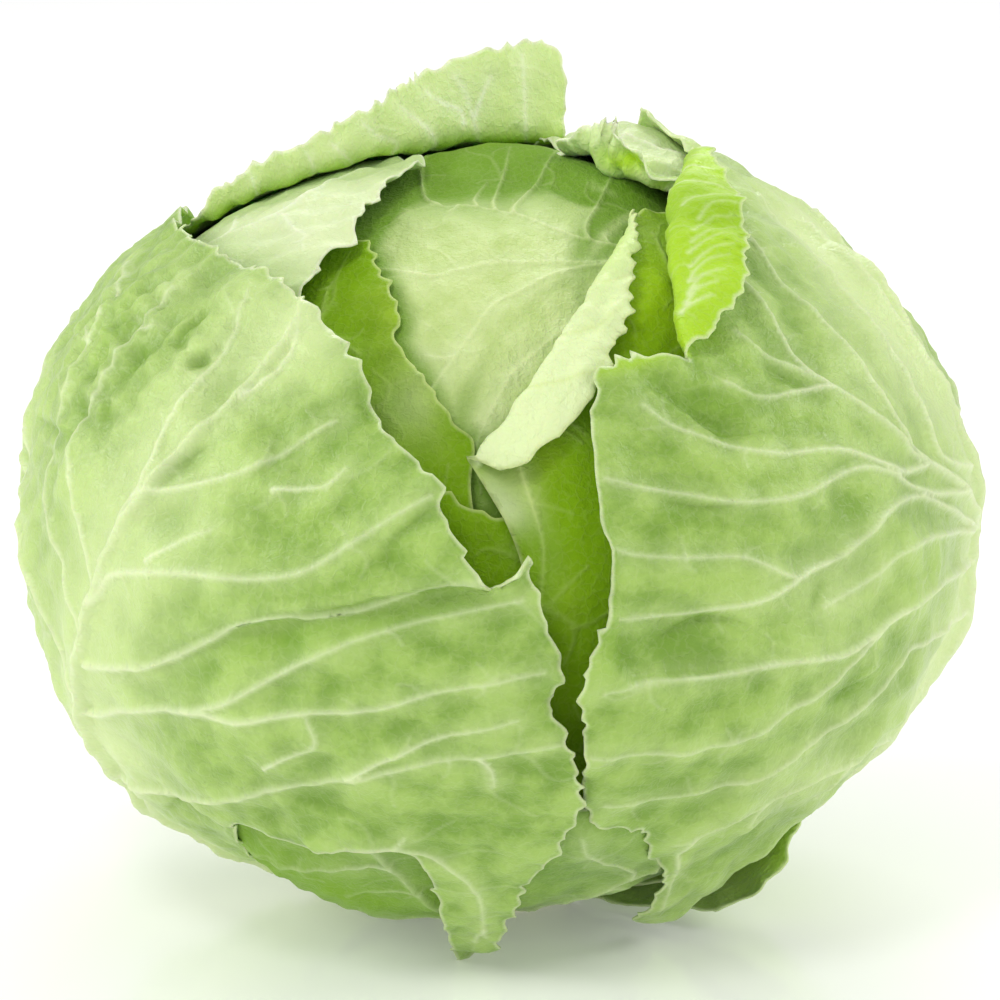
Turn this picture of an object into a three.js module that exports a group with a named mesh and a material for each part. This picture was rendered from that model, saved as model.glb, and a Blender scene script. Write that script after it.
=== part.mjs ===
// A loose-wrapped head of green cabbage standing on its cut stem.
// Units are millimetres, +Z is up. The origin is the centre of the stem's cut face, -Y is the front.
//
// Places on the head are given as [azimuth, elevation] in degrees seen from the middle of the head:
// azimuth 0 is the front and grows to the right, elevation is measured up from the widest line.
// Every leaf is first laid out flat round its own middle, then draped over the head at its own depth,
// so that the leaves nest one inside the other like the layers of the real head.
import * as THREE from "three";

const headRadius = [109.5, 106, 87.5];   // half width, half depth and half height of the wrapped head
const headSquareness = 2.12;             // 2 is an ellipsoid, more is boxier
const headMiddle = [0, 0, 91.5];
const crownCloseness = 0.3;              // how much closer the layers lie over the crown
const flatScale = 100;                   // millimetres of flat leaf to one radian of the head
const stemRadius = 17.4;
const toRadians = Math.PI / 180;

// Broad swellings and flats of the whole head: azimuth, elevation, width in degrees, height.
const headLumps = [
  [-97, -36, 24, 3.4],
  [97, -34, 20, -4],
  [-5, -66, 26, 3],
  [-75, 32, 22, 2],
  [-90, 4, 30, -1.2],
  [88, 4, 30, 1],
];

// ---------------------------------------------------------------------------------------------
// Small vector helpers

const add = (a, b, k = 1) => [a[0] + b[0] * k, a[1] + b[1] * k, a[2] + b[2] * k];
const scale = (a, k) => [a[0] * k, a[1] * k, a[2] * k];
const dot = (a, b) => a[0] * b[0] + a[1] * b[1] + a[2] * b[2];
const cross = (a, b) => [a[1] * b[2] - a[2] * b[1], a[2] * b[0] - a[0] * b[2], a[0] * b[1] - a[1] * b[0]];
const unit = (a) => scale(a, 1 / Math.hypot(...a));
const mix = (a, b, t) => a + (b - a) * t;
const clamp = (x, low, high) => Math.min(high, Math.max(low, x));
const smooth = (x) => clamp(x, 0, 1) ** 2 * (3 - 2 * clamp(x, 0, 1));

function seeded(seed) {
  let state = seed;
  return () => {
    state = (state * 1664525 + 1013904223) % 4294967296;
    return state / 4294967296;
  };
}

// ---------------------------------------------------------------------------------------------
// The head: directions, radius and nesting

function direction(azimuth, elevation) {
  const a = azimuth * toRadians;
  const e = elevation * toRadians;
  return [Math.sin(a) * Math.cos(e), -Math.cos(a) * Math.cos(e), Math.sin(e)];
}

const lumpDirections = headLumps.map(([az, el]) => direction(az, el));

function headSurface(d, depth) {
  const sum = d.reduce((s, x, i) => s + Math.abs(x / headRadius[i]) ** headSquareness, 0);
  let r = sum ** (-1 / headSquareness);
  headLumps.forEach(([, , width, height], i) => {
    const angle = Math.acos(clamp(dot(d, lumpDirections[i]), -1, 1)) / toRadians;
    r += height * Math.exp(-((angle / width) ** 2));
  });
  const elevation = Math.asin(clamp(d[2], -1, 1)) / toRadians;
  return r - depth * (1 - crownCloseness * smooth((elevation - 30) / 45));
}

// ---------------------------------------------------------------------------------------------
// Flat leaf coordinates: u to the right seen from outside, v away from the stem

function layout([azimuth, elevation]) {
  const c = direction(azimuth, elevation);
  const ev = unit(add([0, 0, 1], c, -c[2]));
  return { c, ev, eu: cross(ev, c) };
}

function toFlat(frame, azimuth, elevation) {
  const d = direction(azimuth, elevation);
  const angle = Math.acos(clamp(dot(d, frame.c), -1, 1));
  const u = dot(d, frame.eu);
  const v = dot(d, frame.ev);
  const k = (angle * flatScale) / Math.max(Math.hypot(u, v), 1e-9);
  return [u * k, v * k];
}

function fromFlat(frame, u, v) {
  const rho = Math.hypot(u, v) / flatScale;
  const k = rho > 1e-9 ? Math.sin(rho) / (rho * flatScale) : 1 / flatScale;
  return add(add(scale(frame.c, Math.cos(rho)), frame.eu, u * k), frame.ev, v * k);
}

// ---------------------------------------------------------------------------------------------
// Curves in the flat leaf

function catmullRom(p, i, t, closed) {
  const n = p.length;
  const at = (k) => (closed ? p[(k + n) % n] : p[clamp(k, 0, n - 1)]);
  const p1 = at(i);
  const p2 = at(i + 1);
  const p0 = p1.corner ? p1 : at(i - 1);
  const p3 = p2.corner ? p2 : at(i + 2);
  const span = (q, r) => Math.max(Math.sqrt(Math.hypot(r[0] - q[0], r[1] - q[1])), 1e-4);
  const s0 = span(p0, p1);
  const s1 = span(p1, p2);
  const s2 = span(p2, p3);
  return [0, 1].map((k) => {
    let m1 = (p2[k] - p1[k]) / s1;
    let m2 = m1;
    if (p0 !== p1) m1 = m1 - (p2[k] - p0[k]) / (s0 + s1) + (p1[k] - p0[k]) / s0;
    if (p3 !== p2) m2 = m2 - (p3[k] - p1[k]) / (s1 + s2) + (p3[k] - p2[k]) / s2;
    const a = p1[k];
    const b = p2[k];
    const h = t * t * (3 - 2 * t);
    return mix(a, b, h) + s1 * (m1 * t * (1 - t) ** 2 - m2 * t * t * (1 - t));
  });
}

// A smooth line through points of a leaf; extra numbers of each point are carried along.
function smoothLine(frame, points, step) {
  const flat = points.map(([az, el]) => toFlat(frame, az, el));
  const line = [];
  for (let i = 0; i + 1 < flat.length; i += 1) {
    const length = Math.hypot(flat[i + 1][0] - flat[i][0], flat[i + 1][1] - flat[i][1]);
    const count = Math.max(1, Math.round(length / step));
    for (let k = 0; k < count; k += 1) {
      const t = k / count;
      const [u, v] = catmullRom(flat, i, t, false);
      line.push([u, v, ...points[i].slice(2).map((x, j) => mix(x, points[i + 1][j + 2], t))]);
    }
  }
  line.push([...flat[flat.length - 1], ...points[points.length - 1].slice(2)]);
  return line;
}

// Nearest place of a line: signed distance (positive on its left), the extra numbers, clamped at an end?
function nearest(line, u, v) {
  let best = { distance: Infinity };
  for (let i = 0; i + 1 < line.length; i += 1) {
    const [ax, ay] = line[i];
    const dx = line[i + 1][0] - ax;
    const dy = line[i + 1][1] - ay;
    const raw = ((u - ax) * dx + (v - ay) * dy) / (dx * dx + dy * dy);
    const t = clamp(raw, 0, 1);
    const distance = Math.hypot(u - ax - dx * t, v - ay - dy * t);
    if (distance < best.distance - 1e-9) {
      const length = Math.hypot(dx, dy);
      best = {
        distance,
        side: Math.sign(dx * (v - ay) - dy * (u - ax)) || 1,
        foot: [ax + dx * t, ay + dy * t],
        left: [-dy / length, dx / length],
        along: (i + t) / (line.length - 1),
        extra: line[i].slice(2).map((x, j) => mix(x, line[i + 1][j + 2], t)),
        ended: (i === 0 && raw < 0) || (i === line.length - 2 && raw > 1),
      };
    }
  }
  return best;
}

// ---------------------------------------------------------------------------------------------
// The draped surface of one leaf

function prepare(leaf) {
  const frame = layout(leaf.centre);
  return {
    ...leaf,
    frame,
    bumps: (leaf.bumps || []).map(([az, el, size, height]) => [...toFlat(frame, az, el), size, height]),
    pleats: (leaf.pleats || []).map((p) => ({ ...p, line: smoothLine(frame, p.line, 4) })),
    rolls: (leaf.rolls || []).map((p) => {
      const line = smoothLine(frame, p, 3);
      const middle = nearest(line, 0, 0);
      return middle.side > 0 ? { line, outward: -1 } : { line, outward: 1 };
    }),
    veins: (leaf.veins || []).map((p) => ({ ...p, line: smoothLine(frame, p.line, 4) })),
  };
}

function drape(leaf, u, v) {
  const d = fromFlat(leaf.frame, u, v);
  let r = headSurface(d, leaf.depth);
  for (const [bu, bv, size, height] of leaf.bumps) {
    r += height * Math.exp(-((u - bu) ** 2 + (v - bv) ** 2) / (size * size));
  }
  for (const pleat of leaf.pleats) {
    const at = nearest(pleat.line, u, v);
    const out = at.distance * at.side;
    r += at.extra[0] * smooth((out + 1.5) / 3) * Math.exp(-((Math.max(out, 0) / pleat.reach) ** 2));
  }
  return add(headMiddle, d, r);
}

function normalOf(surface, u, v) {
  const du = add(surface(u + 0.4, v), surface(u - 0.4, v), -1);
  const dv = add(surface(u, v + 0.4), surface(u, v - 0.4), -1);
  return unit(cross(du, dv));
}

function place(leaf, u, v) {
  for (const roll of leaf.rolls) {
    const at = nearest(roll.line, u, v);
    if (at.side === roll.outward && !at.ended) {
      const [radius, turnDegrees] = at.extra;
      const turn = turnDegrees * toRadians;
      const angle = Math.min(at.distance / radius, turn);
      const rest = Math.max(0, at.distance - radius * turn);
      const foot = drape(leaf, ...at.foot);
      const up = normalOf((a, b) => drape(leaf, a, b), ...at.foot);
      const step = at.left.map((x) => x * roll.outward);
      const ahead = add(drape(leaf, at.foot[0] + step[0], at.foot[1] + step[1]), foot, -1);
      const across = unit(add(ahead, up, -dot(ahead, up)));
      const over = radius * Math.sin(angle) + rest * Math.cos(turn);
      const rise = radius * (1 - Math.cos(angle)) + rest * Math.sin(turn);
      return add(add(foot, across, over), up, rise);
    }
  }
  return drape(leaf, u, v);
}

function relief(leaf, u, v) {
  let h = 0;
  for (const vein of leaf.veins) {
    const at = nearest(vein.line, u, v);
    h = Math.max(h, vein.height * (1 - 0.6 * at.along) * Math.exp(-((at.distance / vein.width) ** 2)));
  }
  return h;
}

// ---------------------------------------------------------------------------------------------
// Outline and mesh of one leaf

// Margin points are [azimuth, elevation, tooth depth of the span that follows, 1 at a corner].
function outline(leaf, random) {
  const points = leaf.margin.map(([az, el, , corner]) => {
    const p = toFlat(leaf.frame, az, el);
    p.corner = corner === 1;
    return p;
  });
  const n = points.length;
  const area = points.reduce((s, p, i) => s + p[0] * points[(i + 1) % n][1] - points[(i + 1) % n][0] * p[1], 0);
  const out = area > 0 ? -1 : 1;
  const loop = [];
  points.forEach((p, i) => {
    const tooth = leaf.margin[i][2] || 0;
    const q = points[(i + 1) % n];
    const length = Math.hypot(q[0] - p[0], q[1] - p[1]);
    const pairs = Math.max(1, Math.round(length / 9));
    const count = tooth ? pairs * 2 : Math.max(1, Math.round(length / leaf.grid));
    for (let k = 0; k < count; k += 1) {
      const t = k / count;
      const here = catmullRom(points, i, t, true);
      const near = catmullRom(points, i, Math.min(t + 0.02, 1), true);
      const dx = near[0] - here[0];
      const dy = near[1] - here[1];
      const long = Math.hypot(dx, dy) || 1;
      const push = tooth && k % 2 ? tooth * (0.7 + 0.6 * random()) : 0;
      loop.push([here[0] - (dy / long) * push * out, here[1] + (dx / long) * push * out]);
    }
  });
  return area > 0 ? loop : loop.reverse();
}

function insideLoop(loop, [x, y]) {
  let inside = false;
  for (let i = 0, j = loop.length - 1; i < loop.length; j = i, i += 1) {
    const [ax, ay] = loop[i];
    const [bx, by] = loop[j];
    if (ay > y !== by > y && x < ((bx - ax) * (y - ay)) / (by - ay) + ax) inside = !inside;
  }
  return inside;
}

const loopDistance = (loop, p) => nearest([...loop, loop[0]], p[0], p[1]).distance;

// Delaunay triangles of a set of points, one point added at a time.
function triangulate(points) {
  const n = points.length;
  const all = [...points, [-4000, -4000], [4000, -4000], [0, 4000]];
  const ring = (a, b, c) => {
    const [ax, ay] = all[a];
    const [bx, by] = all[b];
    const [cx, cy] = all[c];
    const d = 2 * (ax * (by - cy) + bx * (cy - ay) + cx * (ay - by));
    const a2 = ax * ax + ay * ay;
    const b2 = bx * bx + by * by;
    const c2 = cx * cx + cy * cy;
    const x = (a2 * (by - cy) + b2 * (cy - ay) + c2 * (ay - by)) / d;
    const y = (a2 * (cx - bx) + b2 * (ax - cx) + c2 * (bx - ax)) / d;
    return { abc: [a, b, c], x, y, r2: (ax - x) ** 2 + (ay - y) ** 2 };
  };
  let triangles = [ring(n, n + 1, n + 2)];
  for (let i = 0; i < n; i += 1) {
    const [x, y] = all[i];
    const open = new Map();
    triangles = triangles.filter((t) => {
      if ((t.x - x) ** 2 + (t.y - y) ** 2 >= t.r2) return true;
      for (let k = 0; k < 3; k += 1) {
        const a = t.abc[k];
        const b = t.abc[(k + 1) % 3];
        if (!open.delete(`${b},${a}`)) open.set(`${a},${b}`, [a, b]);
      }
      return false;
    });
    for (const [a, b] of open.values()) triangles.push(ring(a, b, i));
  }
  return triangles.map((t) => t.abc).filter((t) => t.every((k) => k < n));
}

// Points wanted inside the leaf: along veins, pleats and rolls, then an even grid between them.
function innerPoints(leaf, loop, random) {
  const points = [];
  const offer = (p, room) => {
    if (!insideLoop(loop, p) || loopDistance(loop, p) < Math.min(room, 3)) return;
    if (points.some((q) => Math.hypot(p[0] - q[0], p[1] - q[1]) < room)) return;
    points.push(p);
  };
  const rows = (line, distances, spacing, room) => {
    let since = spacing;
    line.forEach((p, i) => {
      const q = line[Math.min(i + 1, line.length - 1)];
      const o = line[Math.max(i - 1, 0)];
      since += i ? Math.hypot(p[0] - o[0], p[1] - o[1]) : 0;
      if (since < spacing) return;
      since = 0;
      const length = Math.hypot(q[0] - o[0], q[1] - o[1]);
      const left = [-(q[1] - o[1]) / length, (q[0] - o[0]) / length];
      distances(p).forEach((d) => offer([p[0] + left[0] * d, p[1] + left[1] * d], room));
    });
  };
  for (const roll of leaf.rolls) {
    rows(roll.line, ([, , radius, turn]) => {
      const arc = radius * turn * toRadians;
      return [0, arc / 3, (2 * arc) / 3, arc, arc + 9].map((d) => d * roll.outward);
    }, 10, 2);
  }
  for (const pleat of leaf.pleats) rows(pleat.line, () => [-1.6, 1.6], 7, 2.4);
  for (const vein of leaf.veins) {
    rows(vein.line, () => (vein.width > 2.5 ? [0, -vein.width, vein.width] : [0]), 7, vein.width > 2.5 ? 2.6 : 4);
  }
  const us = loop.map((p) => p[0]);
  const vs = loop.map((p) => p[1]);
  const rise = leaf.grid * Math.sqrt(0.75);
  for (let j = 0, v = Math.min(...vs); v < Math.max(...vs); j += 1, v += rise) {
    for (let u = Math.min(...us) + (j % 2) * leaf.grid * 0.5; u < Math.max(...us); u += leaf.grid) {
      offer([u + random() * 0.2, v + random() * 0.2], leaf.grid * 0.55);
    }
  }
  return points;
}

function leafMesh(source, seed) {
  const leaf = prepare(source);
  const random = seeded(seed);
  let loop = outline(leaf, random);
  const inner = innerPoints(leaf, loop, random);
  let points;
  let triangles;
  for (let split = true; split;) {
    points = [...loop, ...inner];
    triangles = triangulate(points);
    const edges = new Set(triangles.flatMap(([a, b, c]) => [`${a},${b}`, `${b},${c}`, `${c},${a}`]));
    const m = loop.length;
    const next = [];
    loop.forEach((p, i) => {
      const q = loop[(i + 1) % m];
      next.push(p);
      if (!edges.has(`${i},${(i + 1) % m}`) && !edges.has(`${(i + 1) % m},${i}`)) {
        next.push([(p[0] + q[0]) / 2, (p[1] + q[1]) / 2]);
      }
    });
    split = next.length > m;
    loop = next;
  }
  triangles = triangles.filter((t) => insideLoop(loop, [0, 1].map((k) => t.reduce((s, i) => s + points[i][k], 0) / 3)));
  const faces = triangles.map(([a, b, c]) => {
    const [p, q, r] = [points[a], points[b], points[c]];
    const turn = (q[0] - p[0]) * (r[1] - p[1]) - (q[1] - p[1]) * (r[0] - p[0]);
    return turn > 0 ? [a, b, c] : [a, c, b];
  });
  return shell(leaf, points, faces, loop.length);
}

// The blade: an outer and an inner skin with the same triangles, closed round the margin.
function shell(leaf, points, faces, rim) {
  const n = points.length;
  const outer = [];
  const inner = [];
  points.forEach(([u, v]) => {
    const p = place(leaf, u, v);
    const up = normalOf((a, b) => place(leaf, a, b), u, v);
    outer.push(...add(p, up, relief(leaf, u, v)));
    inner.push(...add(p, up, -leaf.thick));
  });
  const index = faces.flat();
  faces.forEach(([a, b, c]) => index.push(a + n, c + n, b + n));
  for (let i = 0; i < rim; i += 1) {
    const j = (i + 1) % rim;
    index.push(j, i, i + n, j, i + n, j + n);
  }
  return solid([...outer, ...inner], index);
}

function solid(positions, index) {
  const geometry = new THREE.BufferGeometry();
  geometry.setAttribute("position", new THREE.Float32BufferAttribute(positions, 3));
  geometry.setIndex(index);
  geometry.computeVertexNormals();
  return geometry;
}

// A closed body from rings of points, with a point at each pole.
function ringed(rings, low, high) {
  const m = rings[0].length;
  const positions = [...rings.flat(2), ...low, ...high];
  const last = rings.length * m;
  const index = [];
  for (let i = 0; i < m; i += 1) {
    const j = (i + 1) % m;
    for (let k = 0; k + 1 < rings.length; k += 1) {
      index.push(k * m + i, k * m + j, (k + 1) * m + j, k * m + i, (k + 1) * m + j, (k + 1) * m + i);
    }
    index.push(last, j, i, last + 1, last - m + i, last - m + j);
  }
  return solid(positions, index);
}

// ---------------------------------------------------------------------------------------------
// The tight heart and the cut stem

const heartDepth = 15.4;

function heartMesh() {
  const rings = [];
  for (let el = -82; el <= 82; el += 8.2) {
    const ring = [];
    for (let az = 0; az < 360; az += 10) {
      const d = direction(az, el);
      ring.push(add(headMiddle, d, headSurface(d, heartDepth)));
    }
    rings.push(ring);
  }
  const pole = (d) => add(headMiddle, d, headSurface(d, heartDepth));
  return ringed(rings, pole([0, 0, -1]), pole([0, 0, 1]));
}

function stemMesh() {
  const top = headMiddle[2] - headSurface([0, 0, -1], heartDepth) - 0.4;
  const profile = [[stemRadius - 1.2, 0], [stemRadius, 1.2], [stemRadius - 0.3, 6], [stemRadius - 2, top - 3]];
  const rings = profile.map(([radius, z]) => {
    const ring = [];
    for (let i = 0; i < 36; i += 1) {
      const a = (i / 36) * 2 * Math.PI;
      const r = radius - 0.5 + 0.5 * Math.cos(5 * a + 0.6);
      ring.push([r * Math.cos(a), r * Math.sin(a), z]);
    }
    return ring;
  });
  return ringed(rings, [0, 0, 0], [0, 0, top]);
}

// ---------------------------------------------------------------------------------------------
// The leaves, from the inside out

const leaves = [
  {
    name: "inner_left_leaf", centre: [-25, 20], depth: 13.4, thick: 1, grid: 12, colour: 0x8fb35a,
    margin: [
      [-55, 58], [-44, 57, 1.2], [-37, 55, 1.2], [-28, 50, 1.2], [-20, 42, 0, 1], [-19, 38], [-11, 31],
      [-7, 26], [-4, 24], [-4, 17], [-2, 5], [0, -15], [-5, -45], [-15, -75], [-40, -75], [-65, -75],
      [-82, -40], [-82, -10], [-77, 15], [-72, 35], [-64, 50],
    ],
    veins: [{ height: 1, width: 3, line: [[-40, -70], [-42, -40], [-42, -10], [-40, 20], [-36, 40]] }],
  },
  {
    name: "inner_front_leaf", centre: [5, -15], depth: 11.4, thick: 1, grid: 12, colour: 0x8fb658,
    margin: [
      [-18, 17], [-8, 16, 1.2], [-3, 14, 1.2], [2, 13], [12, 14], [25, 16], [40, 12], [50, 0], [50, -25],
      [48, -50], [42, -76], [20, -76], [-2, -76], [-24, -76], [-36, -50], [-40, -20], [-38, 5], [-28, 16],
    ],
    veins: [{ height: 1, width: 3, line: [[8, -72], [8, -45], [6, -15], [4, 8]] }],
  },
  {
    name: "inner_right_leaf", centre: [25, 20], depth: 9.4, thick: 1, grid: 11, colour: 0xb4d67e,
    margin: [
      [47, 61, 1, 1], [54, 61, 1], [62, 58, 0, 1], [72, 44], [78, 22], [77, 0], [72, -30], [66, -60], [62, -77],
      [42, -77], [24, -77], [12, -50], [6, -25], [4, -5], [3, 6], [1, 12], [-3, 20, 1.3, 1], [-4, 25, 1.4],
      [-2.5, 31, 1.4], [-0.5, 38, 1.4], [3, 44, 1.4], [9, 50, 1.4], [18, 54, 1.4], [32, 58, 1.3],
    ],
    rolls: [[
      [47, 61, 1.2, 160], [36, 55, 1.8, 168], [25, 48, 2.1, 172], [13, 38, 2.2, 174],
      [4, 27, 2, 172], [-3, 20, 1.2, 165],
    ]],
    veins: [{ height: 1.2, width: 3, line: [[44, -72], [44, -40], [42, -10], [38, 20], [36, 42], [44, 56]] }],
  },
  {
    name: "left_crown_leaf", centre: [-70, 30], depth: 7.4, thick: 1, grid: 12, colour: 0xdcebc0,
    margin: [
      [-72, 77, 1.2], [-58, 70, 1.2], [-45, 61, 1.2], [-37, 53, 0, 1], [-40, 47, 1], [-38, 41], [-35, 20],
      [-34, 0], [-40, -30], [-48, -55], [-52, -77], [-72, -77], [-92, -77], [-112, -77], [-126, -50],
      [-134, -15], [-134, 20], [-130, 48], [-118, 66], [-92, 78],
    ],
    veins: [{ height: 1.4, width: 3, line: [[-82, -72], [-84, -40], [-84, -5], [-80, 30], [-70, 55]] }],
  },
  {
    name: "right_crown_leaf", centre: [115, 35], depth: 7.4, thick: 1, grid: 12, colour: 0xcfe5a2,
    margin: [
      [150, 76], [120, 79, 1.5], [67, 78, 1.6, 1], [50, 74, 1.6], [55, 70, 1.6], [61, 66, 1.6], [66, 62, 1.2, 1],
      [70, 50], [80, 30], [86, 5], [90, -25], [94, -55], [98, -77], [118, -77], [138, -77], [158, -77],
      [166, -50], [172, -10], [176, 25], [178, 50], [176, 68],
    ],
    rolls: [[[110, 74, 3, 10], [85, 73, 3, 60], [74, 71, 3, 85], [72, 66, 3, 60], [72, 60, 3, 10]]],
    veins: [{ height: 1.2, width: 3, line: [[128, -72], [128, -40], [126, -5], [118, 30], [104, 55]] }],
  },
  {
    name: "back_crown_leaf", centre: [180, 30], depth: 5.2, thick: 1, grid: 12, colour: 0xb9d98a,
    margin: [
      [150, 71, 0, 1], [141, 60], [132, 40], [130, 15], [134, -15], [142, -45], [150, -77], [170, -77], [190, -77],
      [212, -77], [232, -55], [248, -30], [254, 0], [256, 20], [258, 34], [261, 42, 1.2, 1], [267, 46, 1.4, 1],
      [270, 54, 1.4], [274, 64, 1.4], [276, 76, 1.4], [262, 86, 1.4], [120, 87, 1.4], [104, 80, 1.2, 1],
    ],
    rolls: [[
      [256, 40, 4, 60], [262, 46, 4, 70], [263, 54, 4.5, 80], [262, 64, 5, 90], [248, 73, 5, 95],
      [206, 76, 5, 95], [172, 75, 5, 95], [149, 71, 5, 95], [138, 66, 5, 95],
    ]],
    bumps: [[190, 0, 45, 2]],
    veins: [{ height: 2, width: 3.4, line: [[190, -72], [191, -40], [190, -5], [190, 30], [192, 58]] }],
  },
  {
    name: "base_front_leaf", centre: [-8, -48], depth: 5.2, thick: 1, grid: 10, colour: 0x9fbd78,
    margin: [
      [-78, -40], [-66, -24], [-40, -19], [-12, -22], [4, -26], [12, -27, 0, 1], [22, -22], [42, -20], [56, -32],
      [58, -52], [52, -77], [30, -77], [8, -77], [-14, -77], [-36, -77], [-58, -77], [-76, -60],
    ],
    bumps: [[-12, -58, 55, 3]],
    veins: [
      { height: 1.8, width: 3, line: [[-2, -72], [-8, -58], [-16, -44], [-22, -30]] },
      { height: 0.8, width: 2, line: [[6, -68], [18, -54], [30, -46], [44, -40]] },
    ],
  },
  {
    name: "outer_right_leaf", centre: [65, 5], depth: 2.8, thick: 1.1, grid: 10, colour: 0xa7cd7c,
    margin: [
      [126, 66, 1.4, 1], [112, 64, 1.4], [99, 61, 1.4, 1], [72, 66, 1.6], [46, 66, 1.6], [28, 60, 1.6],
      [20, 53, 1.6], [18, 44, 1.4], [22, 36, 1, 1], [28, 31, 1, 1], [22, 32, 1.2], [14, 31, 0, 1], [12, 24],
      [12, 14], [13, 4], [12, 0, 1.2, 1], [9.5, -5, 1], [10, -12, 1], [11, -22, 1.4], [14, -29, 1.2],
      [21, -30, 1.2, 1], [25, -37, 1], [32, -45, 1], [34, -54, 1], [35, -58, 0.8, 1], [46, -61, 0.8, 1],
      [49, -54, 0.8], [54, -47], [60, -43], [66, -48], [67, -62], [64, -78], [80, -78], [96, -78], [112, -78],
      [130, -60], [148, -36], [160, -12], [165, 12], [160, 36], [148, 53],
    ],
    rolls: [[
      [99, 61, 2, 150], [75, 60, 3, 160], [57, 57, 3.6, 165], [45, 52, 3.8, 165], [37, 46, 3.8, 165],
      [32, 39, 3.4, 165], [28, 31, 2, 150],
    ]],
    pleats: [{ reach: 26, line: [[36, -5, 0], [29, -6, 1.6], [22, -6, 2.8], [15, -6, 3.6], [13, 3, 2.4], [12, 14, 1]] }],
    bumps: [[46, -60, 26, 9], [24, 31, 7, 2.4], [15, 30, 8, 2.8], [118, 58, 34, 3.5], [128, 67, 12, 7]],
    veins: [
      {
        height: 3, width: 4,
        line: [[76, -46], [76, -38], [78, -24], [81, -10], [82, 3], [80, 14], [77, 25], [77, 35], [86, 44]],
      },
      { height: 1.2, width: 2, line: [[82, 0], [66, 12], [54, 20], [44, 29], [35, 35]] },
      { height: 1.2, width: 2, line: [[82, 2], [66, 20], [62, 32], [58, 46]] },
      { height: 1.2, width: 2, line: [[82, -1], [66, 7], [52, 13], [34, 13], [16, 17]] },
      { height: 1.2, width: 2, line: [[81, -4], [63, 5], [44, 5], [35, 5], [17, 10]] },
      { height: 1.2, width: 2, line: [[80, -8], [55, -4], [42, -8], [29, -16], [17, -18]] },
      { height: 1.2, width: 2, line: [[84, 0], [104, 14], [122, 24], [142, 32]] },
      { height: 1.2, width: 2, line: [[82, -12], [104, -8], [126, -8], [150, -6]] },
    ],
  },
  {
    name: "outer_left_leaf", centre: [-55, 0], depth: 0, thick: 1.1, grid: 10, colour: 0xa3c978,
    margin: [
      [-86, 43, 1.2, 1], [-65, 43, 1.2], [-48, 42, 1.2], [-36, 40, 1.2], [-27, 36, 1.2], [-19, 30, 1.2, 1],
      [-17, 26, 1.4], [-11, 20, 1.4], [-8, 18, 1.4, 1], [-6, 13, 1.4], [-4, 9], [-1, 6, 0, 1], [3, 9, 1.2, 1],
      [4, 5, 1.4], [6, -1, 1.2], [7, -5, 1, 1], [6, -9, 1.2], [8, -14, 1.2], [10, -22, 1.4], [8, -32, 1.4],
      [4, -40, 1.4], [1, -50, 1.2], [-4, -59, 1], [-10, -61, 1, 1], [-10, -50, 1], [-10, -40], [-17, -33],
      [-26, -34], [-36, -33], [-44, -34], [-52, -44], [-56, -60], [-58, -78], [-76, -78], [-94, -78],
      [-112, -78], [-122, -55], [-134, -28], [-138, 0], [-134, 22], [-120, 36], [-103, 42],
    ],
    pleats: [{ reach: 30, line: [[-52, -10, 0], [-43, -7, 0.8], [-37, -4, 1.4], [-29, -1, 2.2], [-21, 2, 3], [-12, 4, 3.8],
      [-3, 6, 4.4], [3, 8, 4.4]] }],
    bumps: [[-8, -62, 32, 9.4], [-50, -31, 7, -1.6], [-32, -28, 7, -1.6], [-12, -46, 8, 2]],
    veins: [
      {
        height: 3.4, width: 4.2,
        line: [[-86, -76], [-82, -58], [-76, -42], [-70, -30], [-63, -18], [-56, -7], [-52, 1], [-46, 11], [-40, 19],
          [-34, 28], [-31, 35]],
      },
      { height: 1.2, width: 2, line: [[-58, -12], [-40, -13], [-25, -6], [-7, 1], [4, 4]] },
      { height: 1.2, width: 2, line: [[-53, -2], [-44, 3], [-30, 5], [-17, 9], [-8, 14]] },
      { height: 1.2, width: 2, line: [[-72, -34], [-47, -26], [-23, -22], [-8, -16], [6, -15]] },
      { height: 1.2, width: 2, line: [[-50, 5], [-58, 18], [-62, 30]] },
      { height: 1.2, width: 2, line: [[-70, -30], [-92, -18], [-112, -6], [-128, 2]] },
      { height: 1.2, width: 2, line: [[-62, -16], [-80, 0], [-98, 16], [-112, 28]] },
    ],
  },
  {
    name: "base_right_leaf", centre: [98, -52], depth: -1.4, thick: 1.1, grid: 8, colour: 0x93bb63,
    margin: [
      [64, -78], [61, -66], [61, -56, 1, 1], [66, -48, 1], [74, -43], [88, -38, 1], [110, -36, 1], [130, -42],
      [142, -58], [142, -78], [126, -78], [110, -78], [94, -78], [79, -78],
    ],
    bumps: [[60, -54, 24, 8]],
    veins: [
      { height: 2, width: 3, line: [[102, -74], [100, -62], [98, -50], [98, -42]] },
      { height: 0.8, width: 2, line: [[99, -62], [86, -54], [76, -48]] },
      { height: 0.8, width: 2, line: [[101, -60], [114, -52], [126, -48]] },
    ],
  },
];

// ---------------------------------------------------------------------------------------------

const group = new THREE.Group();

function addPiece(name, geometry, colour) {
  const material = new THREE.MeshStandardMaterial({ color: colour, roughness: 0.5, metalness: 0 });
  const mesh = new THREE.Mesh(geometry, material);
  mesh.name = name;
  group.add(mesh);
}

addPiece("stem", stemMesh(), 0xe6e4bc);
addPiece("heart", heartMesh(), 0xc3dc93);
leaves.forEach((leaf, i) => addPiece(leaf.name, leafMesh(leaf, 101 + i), leaf.colour));

export default group;
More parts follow.
